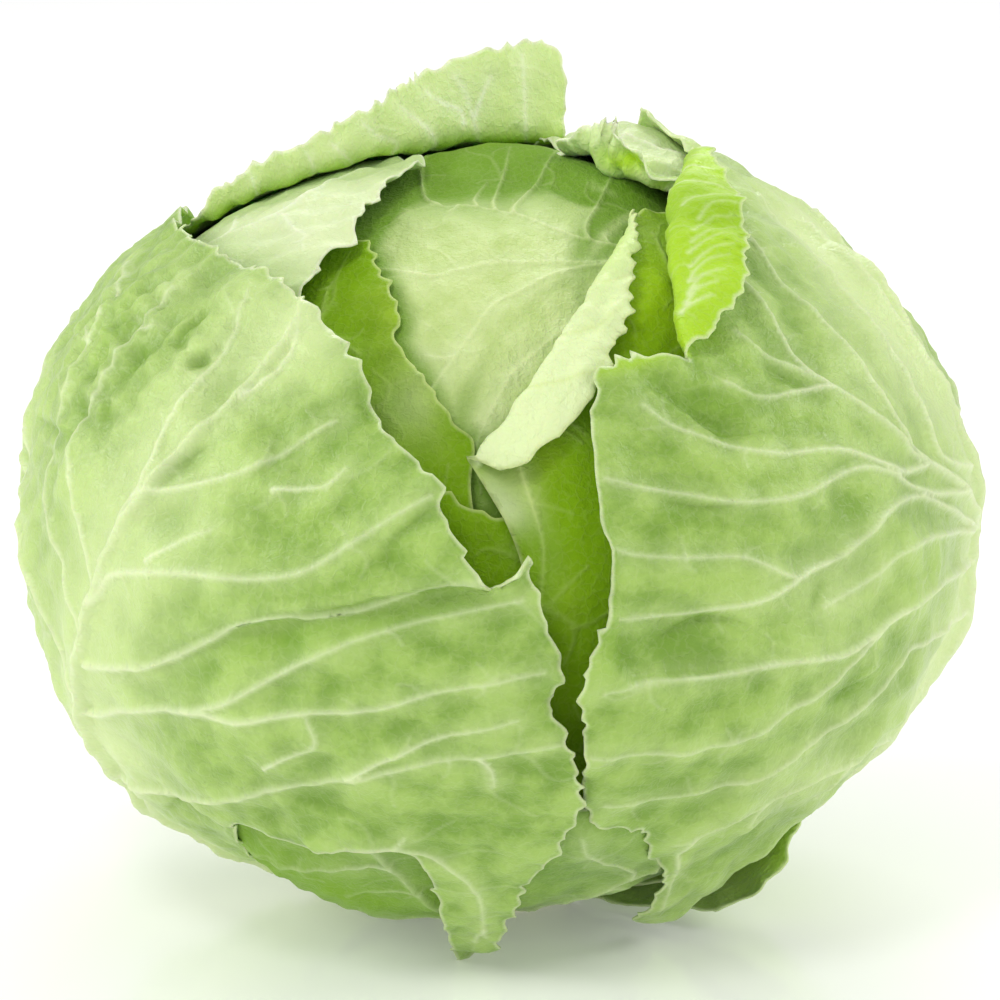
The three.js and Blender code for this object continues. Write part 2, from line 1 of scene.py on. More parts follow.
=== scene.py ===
"""The look of a green cabbage head on its cut stem: leaves, heart, stem, floor, light and camera.

Leaf shapes are worked out in millimetres, +Z up, origin at the centre of the stem's cut face,
-Y the front, and become metres when a mesh is made. Places on the head are [azimuth, elevation] in
degrees seen from its middle: azimuth 0 is the front and grows to the right. Each leaf is laid out
flat round its own middle, u to the right and v up, then draped over the head at its own depth.
"""
import math

import bpy
import numpy as np
from mathutils import Matrix, Vector
from mathutils.geometry import delaunay_2d_cdt
from mathutils.kdtree import KDTree


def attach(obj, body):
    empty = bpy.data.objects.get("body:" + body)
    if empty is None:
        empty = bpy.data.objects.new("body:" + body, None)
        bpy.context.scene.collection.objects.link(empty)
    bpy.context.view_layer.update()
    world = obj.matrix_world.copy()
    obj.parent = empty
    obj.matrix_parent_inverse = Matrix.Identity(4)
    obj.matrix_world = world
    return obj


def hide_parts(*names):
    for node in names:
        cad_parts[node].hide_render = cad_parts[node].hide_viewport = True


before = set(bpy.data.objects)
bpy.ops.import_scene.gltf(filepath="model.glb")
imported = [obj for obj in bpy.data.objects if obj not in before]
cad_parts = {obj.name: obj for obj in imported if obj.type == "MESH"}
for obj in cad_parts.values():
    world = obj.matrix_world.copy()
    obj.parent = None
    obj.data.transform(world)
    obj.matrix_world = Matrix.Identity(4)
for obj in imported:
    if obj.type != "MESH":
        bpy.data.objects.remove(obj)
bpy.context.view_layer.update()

MM = 0.001
TINY = 1e-9
CHUNK = 8000                           # points measured against a line at a time

HEAD_RADIUS = np.array([109.5, 106.0, 87.5])
HEAD_SQUARENESS = 2.12
HEAD_MIDDLE = np.array([0.0, 0.0, 91.5])
HEAD_LUMPS = [                         # azimuth, elevation, width in degrees, height
    [-97, -36, 24, 3.4], [97, -34, 20, -4.0], [-5, -66, 26, 3.0], [-75, 32, 22, 2.0],
    [-90, 4, 30, -1.2], [88, 4, 30, 1.0],
]
CROWN_FROM, CROWN_SPAN = 30, 45        # degrees up where layers begin to lie closer, and over how many
CROWN_CLOSENESS = 0.3                  # share of its depth that a layer loses there
FLAT_SCALE = 100.0                     # millimetres of flat leaf to one radian of the head
STEM_RADIUS = 17.4
HEART_DEPTH = 15.4
FLOOR_GAP, PRESS = 0.1, 0.6            # how far above the floor a leaf stays, and how softly it is pressed
PRESSED_BELOW = 8                      # height under which a leaf is pressed at all

FINE = 1.5      # mesh spacing where a leaf shows
CLOSE = 0.8     # mesh spacing beside its large veins
CLOSE_REACH = 2.4
COARSE = 4.0                           # mesh spacing where other leaves cover it
COVERED, WELL_COVERED = 6, 7.5         # how far in under others the fine mesh ends and the coarse begins
OUT_OF_REACH = 25.0                    # how far in or out of cover still makes a difference
MARGIN_STEP = 0.9
EDGE_STEP, PLEAT_STEP, ROLL_STEP, VEIN_STEP = 5, 2, 1.5, 1.5
PLEAT_SPREAD = 1.5                     # how far to each side of its line a pleat takes to rise
PROBE = 0.4                            # half the distance over which a slope is measured
MARGIN_THICKNESS = 0.45                # share of the blade's thickness left at the very margin
MARGIN_TAPER = 4
HIDDEN_RIPPLE = 0.15                   # share of its ripples that a leaf keeps under others
RIPPLES = (28, 1), (13, 0.5)           # length and strength of the bumps in a leaf's noises
WRINKLES = (7, 1), (3.5, 0.4)
BLOTCHES = (24, 0.12), (10, 0.16)
RIPPLE_SHADING, WRINKLE_SHADING = 0.24, 0.3  # how much lighter the blade is painted to a millimetre of these: painted light on crests, painted shade in hollows
SHOULDER_WIDTH, FRILL_WIDTH = 5.5, 5   # how far from a vein and from the margin these reach
RIB_PALENESS_WIDTH = 20
PAINTED_SHADE_REACH = 16                     # how far out from cover shade is still painted on a leaf

TOOTH_LENGTHS, TOOTH_SIZES = (3.0, 9.5), (0.3, 1.5)
TOOTH_TIP, TOOTH_BACK = 0.7, 0.3       # shares of a tooth's length before its tip and after it
TOOTH_HOLLOW = 1.8                     # how hollow its long side is
LOBE_SHARE, TOOTH_INSET = 0.55, 0.35
LOBE_LENGTH, LOBE_DRIFT = 2.4, 7.1     # of the margin's lobes, and of what makes them uneven
FRILL_LENGTH, FRILL_DRIFT = 2.6, 11    # the same for the frill's waves
FOLD_DRIFTS = (1.4, 13), (0.8, 17)     # radians and length, along and across a row of folds

# Veins grow by steps towards spots of the blade: the gap between the spots and how far in under
# cover they may be, the step, and how near to a spot a vein has reached it.
SIDE_VEIN_GAP, SIDE_VEIN_COVER, SIDE_VEIN_STEP, SIDE_VEIN_REACH = 22, 12, 2.6, 10
NET_GAP, NET_COVER, NET_STEP, NET_REACH = 10, 4, 1.6, 3.2
NET_SHAKE, GRID_SHAKE = 3.4, 0.12      # millimetres; share of the grid's spacing
ROOT_EVERY, NET_ROOT_EVERY = 4, 9      # every how many points of a vein another may leave it
ROOT_HEADING, STIFFNESS = 1.4, 0.7     # how strongly a new vein keeps the way of its root, and its own
MOST_BRANCHES, MOST_STEPS, LEAST_PULL = 3, 120, 0.2
SIDE_VEIN_HEIGHT, SIDE_VEIN_WIDTH = 0.8, 1.6
SIDE_VEIN_LEAST, SIDE_VEIN_GAIN = 0.45, 0.03    # share of these for the smallest, and more per branch
VEIN_SINK, VEIN_TAPER, VEIN_FADE = 0.6, 0.2, 0.5    # height, width and paleness lost by a vein's end
NARROWEST_VEIN = 0.55
SMALL_VEIN_HEIGHT, SMALL_VEIN_WIDTHS = 0.14, (0.5, 1.3)
VEIN_CLEARANCE = 1.0                   # how far a vein's crest stays from the margin
PATTERN_GAP = 37.0                     # how far on the next leaf's place in the patterns of its material is
FAR = 20.0                             # distances to veins and margins are the same beyond this
NO_SMALL_VEIN = 9.0                    # the distance to a small vein where there is none


# ------------------------------------------------------------------------------------------------
# Small helpers

def smooth(x):
    x = np.clip(x, 0, 1)
    return x * x * (3 - 2 * x)


def unit(a):
    return a / np.linalg.norm(a, axis=-1, keepdims=True)


def bell(distance, width):
    return np.exp(-(distance / width) ** 2)


def direction(places):
    azimuth, elevation = np.radians(places[..., 0]), np.radians(places[..., 1])
    level = np.cos(elevation)
    return np.stack([np.sin(azimuth) * level, -np.cos(azimuth) * level, np.sin(elevation)], -1)


LUMP_DIRECTIONS = direction(np.array(HEAD_LUMPS, float))


def elevation_of(d):
    return np.degrees(np.arcsin(np.clip(d[..., 2], -1, 1)))


def head_surface(d, depth):
    """Distance from the head's middle to the layer at this depth, along directions d."""
    r = (np.abs(d / HEAD_RADIUS) ** HEAD_SQUARENESS).sum(-1) ** (-1 / HEAD_SQUARENESS)
    for towards, (_, _, width, height) in zip(LUMP_DIRECTIONS, HEAD_LUMPS):
        angle = np.degrees(np.arccos(np.clip(d @ towards, -1, 1)))
        r += height * bell(angle, width)
    return r - depth * (1 - CROWN_CLOSENESS * smooth((elevation_of(d) - CROWN_FROM) / CROWN_SPAN))


def waves(q, length, seed):
    """Smooth noise of about unit size at flat points q, with bumps about this length apart."""
    random = np.random.default_rng(seed)
    total = np.zeros(len(q))
    count = 9
    for _ in range(count):
        turn = random.uniform(0, 2 * np.pi)
        number = 2 * np.pi / (length * random.uniform(0.7, 1.5))
        forward = q[:, 0] * np.cos(turn) + q[:, 1] * np.sin(turn)
        total += np.sin(forward * number + random.uniform(0, 2 * np.pi))
    return total / math.sqrt(count)


def curve(points, step, closed=False, corner=()):
    """A smooth curve through points: samples about step apart, the span of each and its place in it."""
    n = len(points)
    at = (lambda k: points[k % n]) if closed else (lambda k: points[min(max(k, 0), n - 1)])
    samples, spans, places = [], [], []
    for i in range(n if closed else n - 1):
        p1, p2 = at(i), at(i + 1)
        p0 = p1 if i in corner else at(i - 1)
        p3 = p2 if (i + 1) % n in corner else at(i + 2)
        s0, s1, s2 = (math.sqrt(max(math.dist(a, b), 1e-8)) for a, b in ((p0, p1), (p1, p2), (p2, p3)))
        m1 = m2 = (p2 - p1) / s1
        if s0 > 1e-3:
            m1 = m1 - (p2 - p0) / (s0 + s1) + (p1 - p0) / s0
        if s2 > 1e-3:
            m2 = m2 - (p3 - p1) / (s1 + s2) + (p3 - p2) / s2
        count = max(1, round(math.dist(p1, p2) / step))
        t = (np.arange(count) / count)[:, None]
        bow = m1 * t * (1 - t) ** 2 - m2 * t * t * (1 - t)
        samples.append(p1 + (p2 - p1) * t * t * (3 - 2 * t) + s1 * bow)
        spans.append(np.full(count, i))
        places.append(t[:, 0])
    if not closed:
        samples.append(points[-1:])
        spans.append([n - 2])
        places.append([1.0])
    return np.concatenate(samples), np.concatenate(spans), np.concatenate(places)


class Beside:
    """Where flat points lie beside a line whose rows are u, v and any numbers carried along."""

    def __init__(self, line, q):
        a, step = line[:-1, :2], np.diff(line[:, :2], axis=0)
        length2 = np.maximum((step ** 2).sum(1), 1e-12)
        index, place, raw_place = [], [], []
        for start in range(0, len(q), CHUNK):
            rel = q[start:start + CHUNK, None] - a
            raw = (rel * step).sum(2) / length2
            t = raw.clip(0, 1)
            i = ((rel - t[..., None] * step) ** 2).sum(2).argmin(1)
            row = np.arange(len(i))
            index.append(i)
            place.append(t[row, i])
            raw_place.append(raw[row, i])
        i, t, raw = (np.concatenate(x) for x in (index, place, raw_place))
        self.foot = a[i] + step[i] * t[:, None]
        off = q - self.foot
        self.distance = np.hypot(*off.T)
        turn = step[i, 0] * (q[:, 1] - a[i, 1]) - step[i, 1] * (q[:, 0] - a[i, 0])
        self.side = np.where(turn >= 0, 1, -1)
        self.left = unit(np.stack([-step[i, 1], step[i, 0]], -1))
        self.along = (i + t) / (len(line) - 1)
        extra = line[:, 2:]
        self.extra = extra[i] + (extra[i + 1] - extra[i]) * t[:, None]
        self.ended = ((i == 0) & (raw < 0)) | ((i == len(line) - 2) & (raw > 1))


def nearest_of(points, q):
    """Distance from each point of q to the nearest of points, and which it is."""
    tree = KDTree(len(points))
    for i, (u, v) in enumerate(points):
        tree.insert((u, v, 0), i)
    tree.balance()
    found = [tree.find((u, v, 0)) for u, v in q]
    return np.array([f[2] for f in found]), np.array([f[1] for f in found], int)


def inside(loop, q):
    """True for the points of q inside the closed loop."""
    a, b = loop, np.roll(loop, -1, axis=0)
    rise = np.where(b[:, 1] == a[:, 1], TINY, b[:, 1] - a[:, 1])
    result = np.empty(len(q), bool)
    for start in range(0, len(q), CHUNK):
        u, v = q[start:start + CHUNK, :1], q[start:start + CHUNK, 1:]
        crosses = (a[:, 1] > v) != (b[:, 1] > v)
        before = u < (b[:, 0] - a[:, 0]) * (v - a[:, 1]) / rise + a[:, 0]
        result[start:start + CHUNK] = (before & crosses).sum(1) % 2
    return result


def turned(q, turn):
    """Flat offsets along and across a direction, given in degrees up from the leaf's own right."""
    c, s = math.cos(math.radians(turn)), math.sin(math.radians(turn))
    return q[:, 0] * c + q[:, 1] * s, q[:, 1] * c - q[:, 0] * s


# ------------------------------------------------------------------------------------------------
# One leaf: its flat layout and the surface that it is draped on

class Leaf:
    """A leaf laid out flat: its margin, veins and whatever bends it, in flat points."""

    def __init__(self, source, seed):
        self.name, self.depth, self.thick = source["name"], source["depth"], source["thick"]
        self.slot, self.node = source["slot"], source.get("node", source["name"])
        self.seed = seed
        self.random = np.random.default_rng(seed)
        self.centre = direction(np.array(source["centre"], float))
        self.ev = unit(np.array([0.0, 0.0, 1.0]) - self.centre * self.centre[2])
        self.eu = np.cross(self.ev, self.centre)
        self.margin = self.flat(source["margin"])
        self.teeth = [(p + [0])[2] for p in source["margin"]]
        self.corners = [i for i, p in enumerate(source["margin"]) if len(p) > 3]
        self.bumps = [[*self.flat([b])[0], *b[2:]] for b in source.get("bumps", [])]
        self.pleats = [(p["reach"], self.line(p["line"], PLEAT_STEP)) for p in source.get("pleats", [])]
        self.rolls = []
        for points in source.get("rolls", []):
            line = self.line(points, ROLL_STEP)
            middle = Beside(line, np.zeros((1, 2)))
            self.rolls.append((line, -middle.side[0]))
        self.veins = [(height, width, self.line(line, VEIN_STEP))
                      for height, width, *lines in source["veins"] for line in lines]
        self.edge = curve(self.margin, EDGE_STEP, True, self.corners)[0]
        self.look = {**LOOKS[self.slot], **source.get("look", {})}
        self.creases = [(*row[:3], self.line(row[3], VEIN_STEP)) for row in self.look.get("creases", [])]

    def flat_of(self, d):
        """Flat points of directions d."""
        w = np.stack([d @ self.eu, d @ self.ev], -1)
        angle = np.arccos(np.clip(d @ self.centre, -1, 1))
        return w * (angle * FLAT_SCALE / np.maximum(np.hypot(*w.T), TINY))[:, None]

    def flat(self, places):
        return self.flat_of(direction(np.array([p[:2] for p in places], float)))

    def towards(self, q):
        """Directions from the head's middle of flat points q."""
        rho = np.maximum(np.hypot(*q.T) / FLAT_SCALE, TINY)
        k = np.sin(rho) / (rho * FLAT_SCALE)
        return (np.cos(rho)[:, None] * self.centre
                + (q[:, 0] * k)[:, None] * self.eu + (q[:, 1] * k)[:, None] * self.ev)

    def line(self, points, step):
        """A smooth line through places, in flat points, with any other numbers carried along."""
        samples, spans, t = curve(self.flat(points), step)
        extra = np.array([p[2:] for p in points], float).reshape(len(points), -1)
        carried = extra[spans] + (extra[spans + 1] - extra[spans]) * t[:, None]
        return np.concatenate([samples, carried], axis=1)

    def drape(self, q):
        d = self.towards(q)
        r = head_surface(d, self.depth)
        for u, v, size, height in self.bumps:
            r += height * np.exp(-((q - [u, v]) ** 2).sum(1) / size ** 2)
        for reach, line in self.pleats:
            at = Beside(line, q)
            out = at.distance * at.side
            rise = smooth((out + PLEAT_SPREAD) / (2 * PLEAT_SPREAD))
            r += at.extra[:, 0] * rise * bell(np.maximum(out, 0), reach)
        return HEAD_MIDDLE + d * r[:, None]

    def normal(self, q):
        du = self.drape(q + [PROBE, 0]) - self.drape(q - [PROBE, 0])
        dv = self.drape(q + [0, PROBE]) - self.drape(q - [0, PROBE])
        return unit(np.cross(du, dv))

    def place(self, q):
        """The blade's outer skin at flat points q, margins rolled, and how far each point is rolled."""
        p = self.drape(q)
        rolled = np.zeros(len(q))
        for line, outward in self.rolls:
            at = Beside(line, q)
            k = (at.side == outward) & ~at.ended & (rolled == 0)
            if not k.any():
                continue
            radius, turn = at.extra[k, 0], np.radians(at.extra[k, 1])
            angle = np.minimum(at.distance[k] / radius, turn)
            rest = np.maximum(0, at.distance[k] - radius * turn)
            foot, up = self.drape(at.foot[k]), self.normal(at.foot[k])
            ahead = self.drape(at.foot[k] + at.left[k] * outward) - foot
            across = unit(ahead - up * (ahead * up).sum(1, keepdims=True))
            over = radius * np.sin(angle) + rest * np.cos(turn)
            rise = radius * (1 - np.cos(angle)) + rest * np.sin(turn)
            p[k] = foot + across * over[:, None] + up * rise[:, None]
            rolled[k] = np.maximum(angle, 1e-3)
        return p, rolled

    def flap(self, q):
        """True for flat points on the rolled-back side of a roll."""
        back = np.zeros(len(q), bool)
        for line, outward in self.rolls:
            at = Beside(line, q)
            back |= (at.side == outward) & ~at.ended
        return back

    def cover(self, q, outer):
        """How far flat points lie in under the leaves outside this one; below 0 in the open."""
        d = self.towards(q)
        deepest = np.full(len(q), -OUT_OF_REACH)
        for other in outer:
            w = other.flat_of(d)
            closed = np.concatenate([other.edge, other.edge[:1]])
            far = (w < closed.min(0) - OUT_OF_REACH).any(1) | (w > closed.max(0) + OUT_OF_REACH).any(1)
            k = np.flatnonzero(~far)
            if not len(k):
                continue
            distance = Beside(closed, w[k]).distance
            for line, _ in other.rolls:
                distance = np.minimum(distance, Beside(line, w[k]).distance)
            under = inside(other.edge, w[k]) & ~other.flap(w[k])
            deepest[k] = np.maximum(deepest[k], np.where(under, distance, -distance))
        return deepest

    def patches(self, q, key):
        """The sum of the leaf's soft patches of one kind, in millimetres or as a share."""
        total = np.zeros(len(q))
        for place, length, width, turn, amount in self.look.get(key, []):
            along, across = turned(q - self.flat([place])[0], turn)
            total += amount * np.exp(-(along / length) ** 2 - (across / width) ** 2)
        return total

    def folded(self, q):
        """Height of the rows of soft folds that the leaf has in places."""
        total = np.zeros(len(q))
        (ahead, length), (aside, width) = FOLD_DRIFTS
        for place, reach, spacing, turn, height in self.look.get("folds", []):
            from_place = q - self.flat([place])[0]
            along, across = turned(from_place, turn)
            drift = ahead * np.sin(along / length), aside * np.sin(across / width)
            row = np.sin(2 * np.pi * across / spacing + drift[0] + drift[1])
            total += height * row * np.exp(-(from_place ** 2).sum(1) / reach ** 2)
        return total

    def creased(self, q):
        """Depth of the leaf's sharp creases at q, and how much of one each point is."""
        depth, share = np.zeros(len(q)), np.zeros(len(q))
        for deep, left, right, line in self.creases:
            at = Beside(line, q)
            spread = at.distance / np.where(at.side > 0, left, right)
            here = np.sqrt(np.sin(np.pi * at.along.clip(0.02, 0.98))) * np.exp(-spread ** 2)
            depth += deep * here
            share = np.maximum(share, here * min(1.0, 0.4 + 0.3 * deep))
        return depth, share

    def large_veins(self, q):
        """Height of the large veins at q, how much of one each point is, and how far the nearest is."""
        height, share = np.zeros(len(q)), np.zeros(len(q))
        for tall, wide, line in self.veins:
            reach = wide * 3 + 2
            k = ((q > line[:, :2].min(0) - reach) & (q < line[:, :2].max(0) + reach)).all(1)
            k = np.flatnonzero(k)
            if not len(k):
                continue
            at = Beside(line, q[k])
            narrow = np.maximum(wide * (0.5 - VEIN_TAPER * at.along), NARROWEST_VEIN)
            rise = tall * (1 - VEIN_SINK * at.along) * bell(at.distance, narrow)
            paleness = (1 - VEIN_FADE * at.along) * bell(at.distance, 0.85 * narrow)
            height[k] = np.maximum(height[k], rise)
            share[k] = np.maximum(share[k], paleness)
        centres = np.concatenate([line[:, :2] for *_, line in self.veins])
        return height, share, nearest_of(centres, q)[0]


# ------------------------------------------------------------------------------------------------
# Veins that grow

def roots_along(lines, every):
    """Points of the lines, and the way each line runs there."""
    points = [line[::every, :2] for line in lines]
    ways = [unit(np.gradient(line[:, :2], axis=0))[::every] for line in lines]
    return np.concatenate(points), np.concatenate(ways)


def grow(roots, ways, spots, step, reach):
    """Veins that branch from root points towards spots of the blade, as lines of u, v and size."""
    points, parent, heading = roots.copy(), np.full(len(roots), -1), ROOT_HEADING * ways
    children = np.zeros(len(roots), int)
    distance, index = nearest_of(points, spots)
    for _ in range(MOST_STEPS):
        open_spots = (distance > reach) & (children[index] < MOST_BRANCHES)
        if not open_spots.any():
            break
        pull = np.zeros_like(points)
        np.add.at(pull, index[open_spots], unit(spots[open_spots] - points[index[open_spots]]))
        growing = np.unique(index[open_spots])
        children[growing] += 1
        growing = growing[np.hypot(*pull[growing].T) > LEAST_PULL]
        ahead = unit(unit(pull[growing]) + STIFFNESS * heading[growing])
        fresh = points[growing] + ahead * step
        start = len(points)
        points = np.concatenate([points, fresh])
        parent = np.concatenate([parent, growing])
        heading = np.concatenate([heading, ahead])
        children = np.concatenate([children, np.zeros(len(fresh), int)])
        if not len(fresh):
            continue
        gap = np.linalg.norm(spots[:, None] - fresh, axis=2)
        nearest = gap.argmin(1)
        gap = gap[np.arange(len(spots)), nearest]
        closer = gap < distance
        distance[closer], index[closer] = gap[closer], start + nearest[closer]
    return branches(points, parent, len(roots))


def branches(points, parent, first):
    """The lines of a grown tree, each followed from its fork along the larger branch."""
    size = np.ones(len(points))
    main = np.full(len(points), -1)
    for k in range(len(points) - 1, first - 1, -1):
        size[parent[k]] += size[k]
        if main[parent[k]] < 0 or size[k] > size[main[parent[k]]]:
            main[parent[k]] = k
    lines = []
    for k in range(first, len(points)):
        if parent[k] >= first and main[parent[k]] == k:
            continue
        row = [parent[k], k]
        while main[row[-1]] >= 0:
            row.append(main[row[-1]])
        if len(row) < 3:
            continue
        sizes = size[row]
        sizes[0] = sizes[1]
        lines.append(np.column_stack([relaxed(points[row]), sizes]))
    return lines


def relaxed(line):
    """The same line with its small zigzags eased, its ends kept."""
    for _ in range(2):
        line = np.concatenate([line[:1], (line[:-2] + 2 * line[1:-1] + line[2:]) / 4, line[-1:]])
    return line


def hexagonal(low, high, spacing, random):
    """Points on a slightly shaken hexagonal grid."""
    rise = spacing * math.sqrt(0.75)
    u, v = np.meshgrid(np.arange(low[0], high[0], spacing), np.arange(low[1], high[1], rise))
    u = u + (np.arange(len(u)) % 2)[:, None] * spacing / 2
    q = np.stack([u.ravel(), v.ravel()], -1)
    return q + random.uniform(-GRID_SHAKE, GRID_SHAKE, q.shape) * spacing


def open_spots_of(leaf, low, high, outer, spacing, covered):
    """Grid points on the blade that lie no further than covered in under other leaves."""
    spots = hexagonal(low, high, spacing, leaf.random)
    return spots[inside(leaf.edge, spots) & (leaf.cover(spots, outer) < covered)]


def add_side_veins(leaf, low, high, outer):
    """Side veins, grown from the leaf's own veins to where its blade has none."""
    spots = open_spots_of(leaf, low, high, outer, SIDE_VEIN_GAP, SIDE_VEIN_COVER)
    if not len(spots):
        return
    roots = roots_along([line for *_, line in leaf.veins], ROOT_EVERY)
    for line in grow(*roots, spots, SIDE_VEIN_STEP, SIDE_VEIN_REACH):
        scale = min(1.0, SIDE_VEIN_LEAST + SIDE_VEIN_GAIN * line[0, 2])
        leaf.veins.append((SIDE_VEIN_HEIGHT * scale, SIDE_VEIN_WIDTH * scale, line[:, :2]))


def vein_net(leaf, low, high, outer):
    """The small veins between the large ones."""
    spots = open_spots_of(leaf, low, high, outer, NET_GAP, NET_COVER)
    spots = spots + leaf.random.uniform(-NET_SHAKE, NET_SHAKE, spots.shape)
    if not len(spots):
        return []
    roots = roots_along([line for *_, line in leaf.veins], NET_ROOT_EVERY)
    return grow(*roots, spots, NET_STEP, NET_REACH)


def small_veins(lines, q):
    """Distance from each point of q to the nearest small vein, and that vein's width."""
    if not lines:
        return np.full(len(q), NO_SMALL_VEIN), np.ones(len(q))
    dense = []
    for line in lines:
        at = np.linspace(0, len(line) - 1, 4 * len(line))
        dense.append(np.column_stack([np.interp(at, np.arange(len(line)), line[:, k]) for k in range(3)]))
    dense = np.concatenate(dense)
    distance, which = nearest_of(dense[:, :2], q)
    return distance, np.clip(0.42 + 0.11 * np.sqrt(dense[which, 2]), *SMALL_VEIN_WIDTHS)


# ------------------------------------------------------------------------------------------------
# The mesh of one leaf

def toothed(leaf):
    """The margin as a closed loop of flat points, and how far round it each one is."""
    points, spans, _ = curve(leaf.margin, MARGIN_STEP, True, leaf.corners)
    after = np.roll(points, -1, axis=0)
    area = (points[:, 0] * after[:, 1] - after[:, 0] * points[:, 1]).sum()
    lengths = np.linalg.norm(after - points, axis=1)
    s = np.concatenate([[0], np.cumsum(lengths)[:-1]])
    forward = unit(np.roll(points, -2, axis=0) - np.roll(points, 2, axis=0))
    out = np.stack([forward[:, 1], -forward[:, 0]], -1) * np.sign(area)
    teeth = np.array(leaf.teeth, float)[spans]
    cuts = [0.0]
    while cuts[-1] <= s[-1]:
        cuts.append(cuts[-1] + leaf.random.uniform(*TOOTH_LENGTHS))
    cuts = np.array(cuts)
    k = np.searchsorted(cuts, s, "right") - 1
    part = (s - cuts[k]) / (cuts[k + 1] - cuts[k])
    size = leaf.random.uniform(*TOOTH_SIZES, len(cuts))[k]
    tooth = np.where(part < TOOTH_TIP, (part / TOOTH_TIP) ** TOOTH_HOLLOW, (1 - part) / TOOTH_BACK) * size
    lobes = 0.5 + 0.5 * np.sin(s / LOBE_LENGTH + 1.5 * np.sin(s / LOBE_DRIFT))
    loop = points + out * (teeth * (tooth + LOBE_SHARE * lobes - TOOTH_INSET))[:, None]
    if area < 0:
        loop, s = loop[::-1], s[::-1]
    return loop, s


def clipped(lines, loop):
    """The parts of vein lines that run inside the margin, clear of it."""
    parts = []
    for line in lines:
        good = inside(loop, line[:, :2]) & (nearest_of(loop, line[:, :2])[0] > VEIN_CLEARANCE)
        start = None
        for i, ok in enumerate([*good, False]):
            if ok and start is None:
                start = i
            elif not ok and start is not None:
                if i - start > 2:
                    parts.append(line[start:i])
                start = None
    return parts


def grid_points(leaf, loop, worked, outer):
    """Points for the inside of the mesh: close beside worked lines, fine in the open, coarse in cover."""
    low, high = loop.min(0), loop.max(0)
    close, fine, coarse = (hexagonal(low, high, spacing, leaf.random) for spacing in (CLOSE, FINE, COARSE))
    centres = np.concatenate(worked)
    close = close[nearest_of(centres, close)[0] < CLOSE_REACH]
    fine = fine[nearest_of(centres, fine)[0] > CLOSE_REACH + 0.5 * FINE]
    shown = np.concatenate([close, fine])
    shown = shown[inside(loop, shown)]
    coarse = coarse[inside(loop, coarse)]
    shown = shown[leaf.cover(shown, outer) < COVERED]
    return np.concatenate([shown, coarse[leaf.cover(coarse, outer) > WELL_COVERED]])


def triangulated(loop, lines, grid):
    """Triangles inside the loop whose edges follow the lines: flat points and faces, all turning left."""
    fixed = np.concatenate([loop] + [line[:, :2] for line in lines])
    grid = grid[nearest_of(fixed, grid)[0] > 0.8 * CLOSE]
    edges, start = [], len(loop)
    for line in lines:
        edges += [(start + i, start + i + 1) for i in range(len(line) - 1)]
        start += len(line)
    points = [Vector((u, v)) for u, v in np.concatenate([fixed, grid])]
    verts, _, faces, *_ = delaunay_2d_cdt(points, edges, [list(range(len(loop)))], 1, 1e-4)
    points = np.array([tuple(v) for v in verts])
    faces = np.array([tuple(f) for f in faces])
    a, b, c = points[faces[:, 0]], points[faces[:, 1]], points[faces[:, 2]]
    turn = (b[:, 0] - a[:, 0]) * (c[:, 1] - a[:, 1]) - (b[:, 1] - a[:, 1]) * (c[:, 0] - a[:, 0])
    faces[turn < 0] = faces[turn < 0][:, ::-1]
    faces = faces[np.abs(turn) > 1e-7]
    used = np.unique(faces)
    renumber = np.full(len(points), -1)
    renumber[used] = np.arange(len(used))
    return points[used], renumber[faces]


def vertex_normals(p, faces):
    a, b, c = p[faces[:, 0]], p[faces[:, 1]], p[faces[:, 2]]
    across = np.cross(b - a, c - a)
    total = np.zeros_like(p)
    for k in range(3):
        np.add.at(total, faces[:, k], across)
    return unit(total + 1e-12)


def shell(faces, n):
    """Faces of a closed blade: the outer skin's n points, the inner skin's and the rim between them."""
    edges = np.concatenate([faces[:, [0, 1]], faces[:, [1, 2]], faces[:, [2, 0]]])
    key = edges.max(1) * 10 ** 7 + edges.min(1)
    _, first, count = np.unique(key, return_index=True, return_counts=True)
    rim = edges[first[count == 1]]
    sides = np.concatenate([
        np.stack([rim[:, 1], rim[:, 0], rim[:, 0] + n], -1),
        np.stack([rim[:, 1], rim[:, 0] + n, rim[:, 1] + n], -1),
    ])
    return np.concatenate([faces, faces[:, ::-1] + n, sides])


